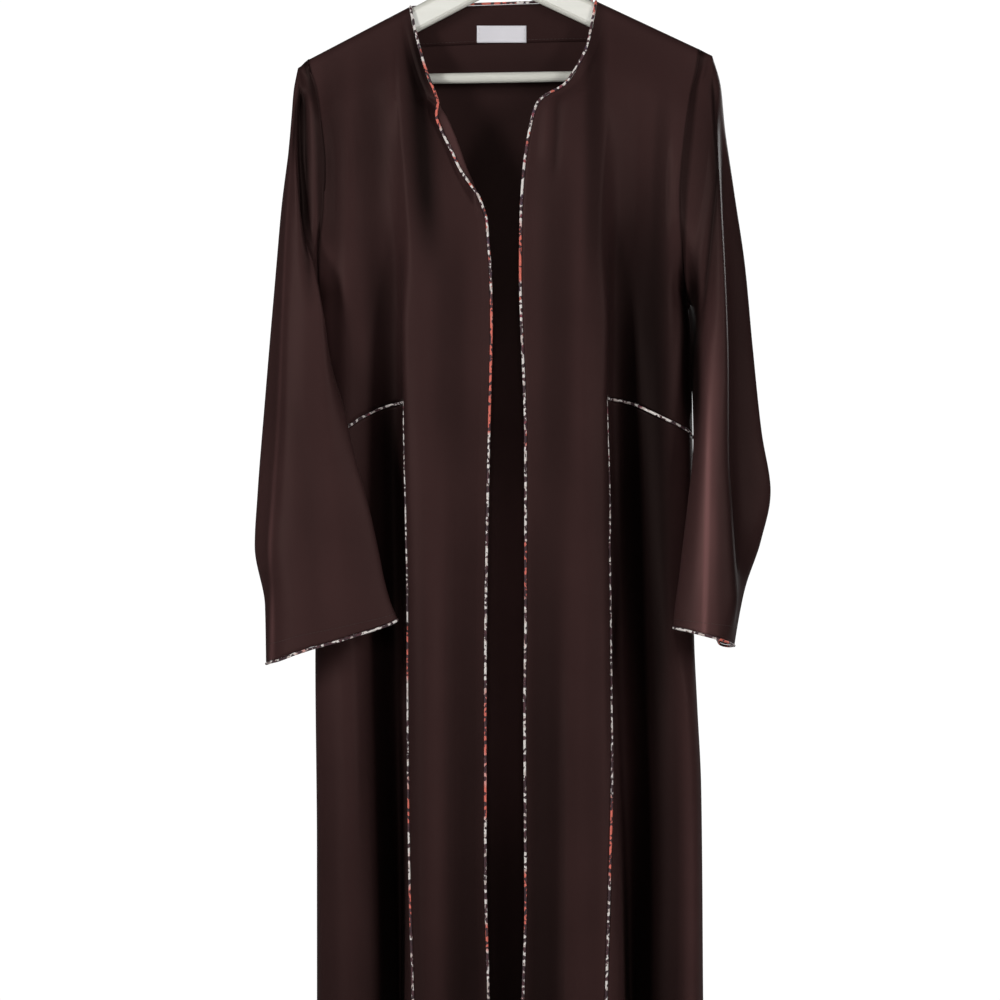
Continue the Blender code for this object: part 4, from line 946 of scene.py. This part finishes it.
def satin():
    """White label satin with fine ribs across."""
    made, tree, place = new_look("label_satin_weave")
    ribs = add(tree, "TexWave", Vector=place, Scale=420.0, Distortion=0.6, bands_direction="Z").outputs["Fac"]
    colour = (0.80, 0.78, 0.82, 1.0)
    return finished(made, ribs, 0.25, 0.0001, Base_Color=colour, Roughness=0.38, Anisotropic=0.4)


def painted_wood():
    """Off-white lacquer over wood, with faint grain and a colour slightly uneven from wear."""
    made, tree, place = new_look("painted_wood")
    stretch = add(tree, "Mapping", place, Scale=(0.12, 1.0, 1.0))
    grain = add(tree, "TexNoise", Vector=stretch, Scale=160.0, Detail=4.0)
    colour = ramp(tree, grain, *PAINT_COLOURS)
    coat = {"Coat_Weight": 0.35, "Coat_Roughness": 0.2}
    return finished(made, grain, 0.12, 0.0003, Base_Color=colour, Roughness=0.34, **coat)


def steel():
    """Polished hook steel with faint drawing marks."""
    made, tree, place = new_look("polished_steel")
    marks = add(tree, "TexNoise", Vector=place, Scale=700.0, Detail=3.0)
    rough = add(tree, "MapRange", marks, To_Min=0.16, To_Max=0.30)
    return finished(made, Base_Color=(0.66, 0.66, 0.67, 1.0), Metallic=1.0, Roughness=rough)


def thread(name, colour):
    made, tree, place = new_look(name)
    twist = add(tree, "TexWave", Vector=place, Scale=1500.0, Distortion=1.0).outputs["Fac"]
    return finished(made, twist, 0.3, 0.0001, Base_Color=(*colour, 1.0), Roughness=0.55)


# The pieces. Each builder gives its pieces with the nodes that they replace and their slots, and before them the
# grid that other pieces need


def sewn(name, path, look):
    """Stitches that ride on the body."""
    row = stitches(f"stitches_{name}", path, look)
    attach(row, "root")
    return row


def hem_line(face, drop):
    """The line on a face of cloth that lies a turning's width above its hem."""
    level = HEM_DROP - HEM_TURN
    low = int(np.argmax(drop.min(axis=1) > level))
    share = (level - drop[low - 1]) / (drop[low] - drop[low - 1])
    return mix(face[low - 1], face[low], share[:, None])


def build_front(side, looks):
    plain, out, drop, place, past, corner_drop, seam, last = front_grid(side)
    # Heights of the creases, and the painted shade and highlight along them
    height, painted_light = creases(out, drop, FRONT_CREASES[side])
    near_seam = 1 - ease((np.abs(past) - CALM["seam"]) / CALM["seam_fade"])
    piped = ease((drop - corner_drop + CALM["above"]) / CALM["above_fade"]) * near_seam
    height = height * (1 - piped) * ease((place - CALM["edge"]) / CALM["edge_fade"])
    # Painted shade along the front's armhole edge
    painted_light[drop[:, -1] < UNDERARM_DROP, -ARMHOLE_LINE["columns"] :] *= ARMHOLE_LINE["shade"]
    loose = ease((TOP_FOLD["until"] - drop) / TOP_FOLD["over"])
    loose = loose * ease((past + TOP_FOLD["reach"]) / TOP_FOLD["reach_fade"]) * TOP_FOLD["share"]
    armhole_out = smooth_at(FRONT[side], "side", drop)
    loose *= 1 - ease((out - armhole_out + TOP_FOLD_SIDE["clear"]) / TOP_FOLD_SIDE["fade"])
    grid = softened(plain, loose, TOP_FOLD["passes"])
    grid = grid + outward(grid) * (-SIDE_SIGN[side] * height)[..., None]
    panel = shell(f"cloth_front_{side}", grid, looks["crepe"], lambda r, c: (c < seam) | (r < last), painted_light=painted_light)
    inset = shell(f"cloth_inset_{side}", grid, looks["crepe"], lambda r, c: (c > seam) & (r > last), painted_light=painted_light)
    edge_piping = cord(f"cord_front_{side}", beyond(grid[:, 0], grid[:, 1], PIPING_REACH), looks["printed"])
    up = 0.5 * (grid[:, seam] + grid[:, seam + 1])[last + 2 :][::-1]
    corner = 0.5 * (grid[last, seam] + grid[last + 1, seam + 1])
    over = 0.5 * (grid[last] + grid[last + 1])[seam + 3 :]
    inset_piping = cord(f"cord_inset_{side}", np.concatenate([up, [corner], over]), looks["printed"])
    hem = hem_line(grid - SIDE_SIGN[side] * outward(grid) * ON_CLOTH, drop)
    band_hem = sewn(f"band_hem_{side}", hem[: seam - 1], looks["thread"])
    inset_hem = sewn(f"inset_hem_{side}", hem[seam + 3 : -1], looks["thread"])
    return grid, [
        (panel, f"front_{side}", "abaya_cloth"),
        (inset, f"side_inset_{side}", "abaya_cloth"),
        (edge_piping, f"piping_front_{side}", "piping_print"),
        (inset_piping, f"piping_inset_{side}", "piping_print"),
    ]


def build_back(looks):
    plain, right, drop, first, last = back_grid()
    # Heights of the creases, and the painted shade and highlight along them
    height, painted_light = creases(right, drop, BACK_CREASES)
    normal = outward(plain)
    grid = plain + normal * height[..., None]
    panel = shell("cloth_back", grid, looks["crepe"], painted_light=painted_light)
    line = beyond(grid[0, first : last + 1], grid[3, first : last + 1], PIPING_REACH)
    piping = cord("cord_neck_back", line[1:-1], looks["printed"])

    facing_grid = patch_of(plain - normal * FACING_LIFT, right, drop, FACING)
    # The facing is darkened evenly with painted shade
    facing_painted_shade = np.full(facing_grid.shape[:2], FACING_PAINTED_SHADE)
    facing = shell("cloth_facing", facing_grid, looks["crepe"], painted_light=facing_painted_shade)
    label_grid = patch_of(plain - normal * (FACING_LIFT + LABEL_LIFT), right, drop, LABEL)
    label = shell("label_neck", label_grid, looks["satin"])
    seam = facing_grid[-2] - outward(facing_grid)[-2] * ON_CLOTH
    facing_seam = sewn("facing", seam, looks["thread"])
    face = label_grid - outward(label_grid) * ON_CLOTH
    ends = [sewn(f"label_{end}", face[1:-1, c], looks["pale"]) for end, c in (("left", 1), ("right", -2))]
    hem = sewn("back_hem", hem_line(grid + normal * ON_CLOTH, drop)[1:-1], looks["thread"])
    return grid, [
        (panel, "back", "abaya_cloth"), (piping, "piping_neck_back", "piping_print"),
        (facing, "back_neck_facing", "abaya_cloth"), (label, "neck_label", "label_satin"),
    ]


def patch_of(grid, right, drop, shape):
    """A small grid cut from the back's, by its distance to the right and its drop or its fall below the neck."""
    columns = np.linspace(shape["left"], shape["right"], shape["columns"])
    falls = np.linspace(shape["top"], shape["bottom"], shape["rows"])
    place = np.interp(columns, right[0], np.arange(right.shape[1]))
    low = np.minimum(place.astype(int), right.shape[1] - 2)
    share = (place - low)[None, :]
    near = mix(grid[:, low], grid[:, low + 1], share[..., None])
    level = mix(drop[:, low], drop[:, low + 1], share)
    made = np.zeros((len(falls), len(columns), 3))
    for c in range(len(columns)):
        wanted = falls + (level[0, c] if shape["below_neck"] else 0.0)
        made[:, c] = np.stack([np.interp(wanted, level[:, c], near[:, c, axis]) for axis in range(3)], axis=1)
    return made


def build_sleeve(side, front, back, looks):
    grid = sleeve_grid(side, front, back)
    count, around = grid.shape[:2]
    out = SIDE_SIGN[side] * (grid[..., 0] - GARMENT_MIDDLE)
    drop = NECK_LEVEL - grid[..., 2]
    normal = outward(grid, tube=True)
    centre = grid.mean(axis=1, keepdims=True)
    normal *= math.copysign(1.0, float(np.sum(normal * (grid - centre))))
    turn = np.arange(around) / around
    in_front = ease((np.sin(2 * math.pi * turn) + BEHIND["over"]) / BEHIND["fade"])[None, :]
    # Crease heights with their painted shade and highlight, at the front and, shifted and weaker, at the back
    front_height, front_painted_light = creases(out, drop, SLEEVE_CREASES[side])
    back_height, back_painted_light = creases(out + BEHIND["shift"], drop, SLEEVE_CREASES[side])
    height = mix(back_height * BEHIND["share"], front_height, in_front)
    painted_light = mix(mix(1.0, back_painted_light, BEHIND["painted_light_share"]), front_painted_light, in_front)
    height *= ease((np.arange(count) - HEAD_CALM["flat"]) / HEAD_CALM["fade"])[:, None]
    grid = grid + normal * height[..., None]
    body = ease((np.arange(count) - SLEEVE_HEAD_ROWS) / RING_SOFTNESS["fade"]) * RING_SOFTNESS["share"]
    grid = softened(grid, body[:, None], RING_SOFTNESS["passes"], tube=True)
    # Painted shade along the sleeve's armhole seam
    painted_light[: ARMHOLE_LINE["rows"]] *= ARMHOLE_LINE["shade"]
    grid = np.concatenate([tucked(grid), grid])
    painted_light = np.concatenate([painted_light[:1], painted_light])
    panel = shell(f"cloth_sleeve_{side}", grid, looks["crepe"], tube=True, painted_light=painted_light)
    cuff = beyond(grid[-1], grid[-2], PIPING_REACH, closed=True)
    piping = cord(f"cord_cuff_{side}", cuff, looks["printed"], closed=True)
    run = run_along(grid[:, around // 2])
    row = int(np.argmax(run > run[-1] - CUFF_TURN))
    line = grid[row] + normal[row - 1] * ON_CLOTH
    sewing = sewn(f"cuff_{side}", np.concatenate([line, line[:1]]), looks["thread"])
    return [(panel, f"sleeve_{side}", "abaya_cloth"), (piping, f"piping_cuff_{side}", "piping_print")]


def tucked(grid):
    """The sleeve's seam allowance, turned in under the armhole's edge."""
    edge = grid[0]
    inward = np.zeros(edge.shape)
    inward[:, 1] = np.sign(edge.mean(axis=0)[1] - edge[:, 1])
    return (edge + unit(edge - grid[1]) * SEAM_ALLOWANCE["reach"] + inward * SEAM_ALLOWANCE["under"])[None]


# Stage, light and camera. Lengths are in metres and powers in watts

# How far to the rear the world's white starts and is full, and its strength in front and behind
WHITE_BEHIND = (0.95, 0.988, 0.05, 1.05)
FLOOR = {"half": 2.6, "below": 0.04, "colour": (0.82, 0.82, 0.81, 1.0), "roughness": 0.7}
CAMERA = {"place": (-0.004, -5.02, -0.608), "turn": math.radians(90), "sensor": 36.0, "lens": 180.72, "far": 50.0}
# Name, place, what it points at, width, height and power
LIGHTS = (
    ("key", (-2.3, -2.2, 0.3), (0.0, 0.0, -0.55), 0.5, 1.4, 52.0),
    ("fill", (2.3, -2.2, 0.3), (0.0, 0.0, -0.55), 0.5, 1.4, 32.0),
    ("front", (0.0, -3.6, 0.3), (0.0, 0.0, -0.3), 0.35, 0.8, 16.0),
    ("back", (1.9, 2.7, 0.4), (0.0, 0.0, -0.6), 0.6, 1.4, 24.0),
)


def area_light(name, place, target, width, height, power):
    light = bpy.data.lights.new(name, "AREA")
    light.shape = "RECTANGLE"
    light.size = width
    light.size_y = height
    light.energy = power
    lamp = add_object(name, light)
    lamp.location = place
    lamp.rotation_mode = "QUATERNION"
    lamp.rotation_quaternion = (Vector(target) - Vector(place)).to_track_quat("-Z", "Y")
    lamp.visible_camera = False


def build_world():
    """A studio that is white behind the garment and dim in front of it."""
    sky = bpy.data.worlds.new("studio")
    bpy.context.scene.world = sky
    sky.use_nodes = True
    tree = sky.node_tree
    rearward = add(tree, "SeparateXYZ", coordinates(tree, "Generated")).outputs["Y"]
    level = add(tree, "MapRange", rearward, *WHITE_BEHIND, interpolation_type="SMOOTHSTEP")
    feed(tree.nodes["Background"], Strength=level, Color=(1.0, 1.0, 1.0, 1.0))


def build_stage():
    build_world()
    mesh = bpy.data.meshes.new("studio_floor")
    half = FLOOR["half"]
    mesh.from_pydata([(-half, -half, 0), (half, -half, 0), (half, half, 0), (-half, half, 0)], [], [(0, 1, 2, 3)])
    pale = finished(new_look("pale_floor")[0], Base_Color=FLOOR["colour"], Roughness=FLOOR["roughness"])
    floor = add_object("studio_floor", mesh, pale)
    floor.location = (0.0, 0.0, (NECK_LEVEL - HEM_DROP) * MM - FLOOR["below"])
    for light in LIGHTS:
        area_light(*light)
    camera = bpy.data.cameras.new("camera")
    camera.sensor_width = CAMERA["sensor"]
    camera.lens = CAMERA["lens"]
    camera.clip_end = CAMERA["far"]
    eye = add_object("camera", camera)
    eye.location = CAMERA["place"]
    eye.rotation_euler = (CAMERA["turn"], 0.0, 0.0)
    bpy.context.scene.camera = eye
    bpy.context.scene.view_settings.view_transform = "Standard"


def main():
    looks = {"crepe": crepe(), "printed": printed(), "satin": satin()}
    looks["thread"] = thread("sewing_thread", THREAD_COLOUR)
    looks["pale"] = thread("label_thread", LABEL_THREAD_COLOUR)
    back, back_pieces = build_back(looks)
    pieces = []
    for side in SIDE_SIGN:
        front, front_pieces = build_front(side, looks)
        pieces += front_pieces + build_sleeve(side, front, back, looks)
    for piece, cad_node, slot in pieces + back_pieces:
        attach(piece, "root")
        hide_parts(cad_node)
    wood, metal = painted_wood(), steel()
    for part, look in (("arms", wood), ("bar", wood), ("collar", metal), ("hook", metal)):
        materials = frame["nodes"][f"hanger_{part}"].data.materials
        materials.clear()
        materials.append(look)
    build_stage()


main()
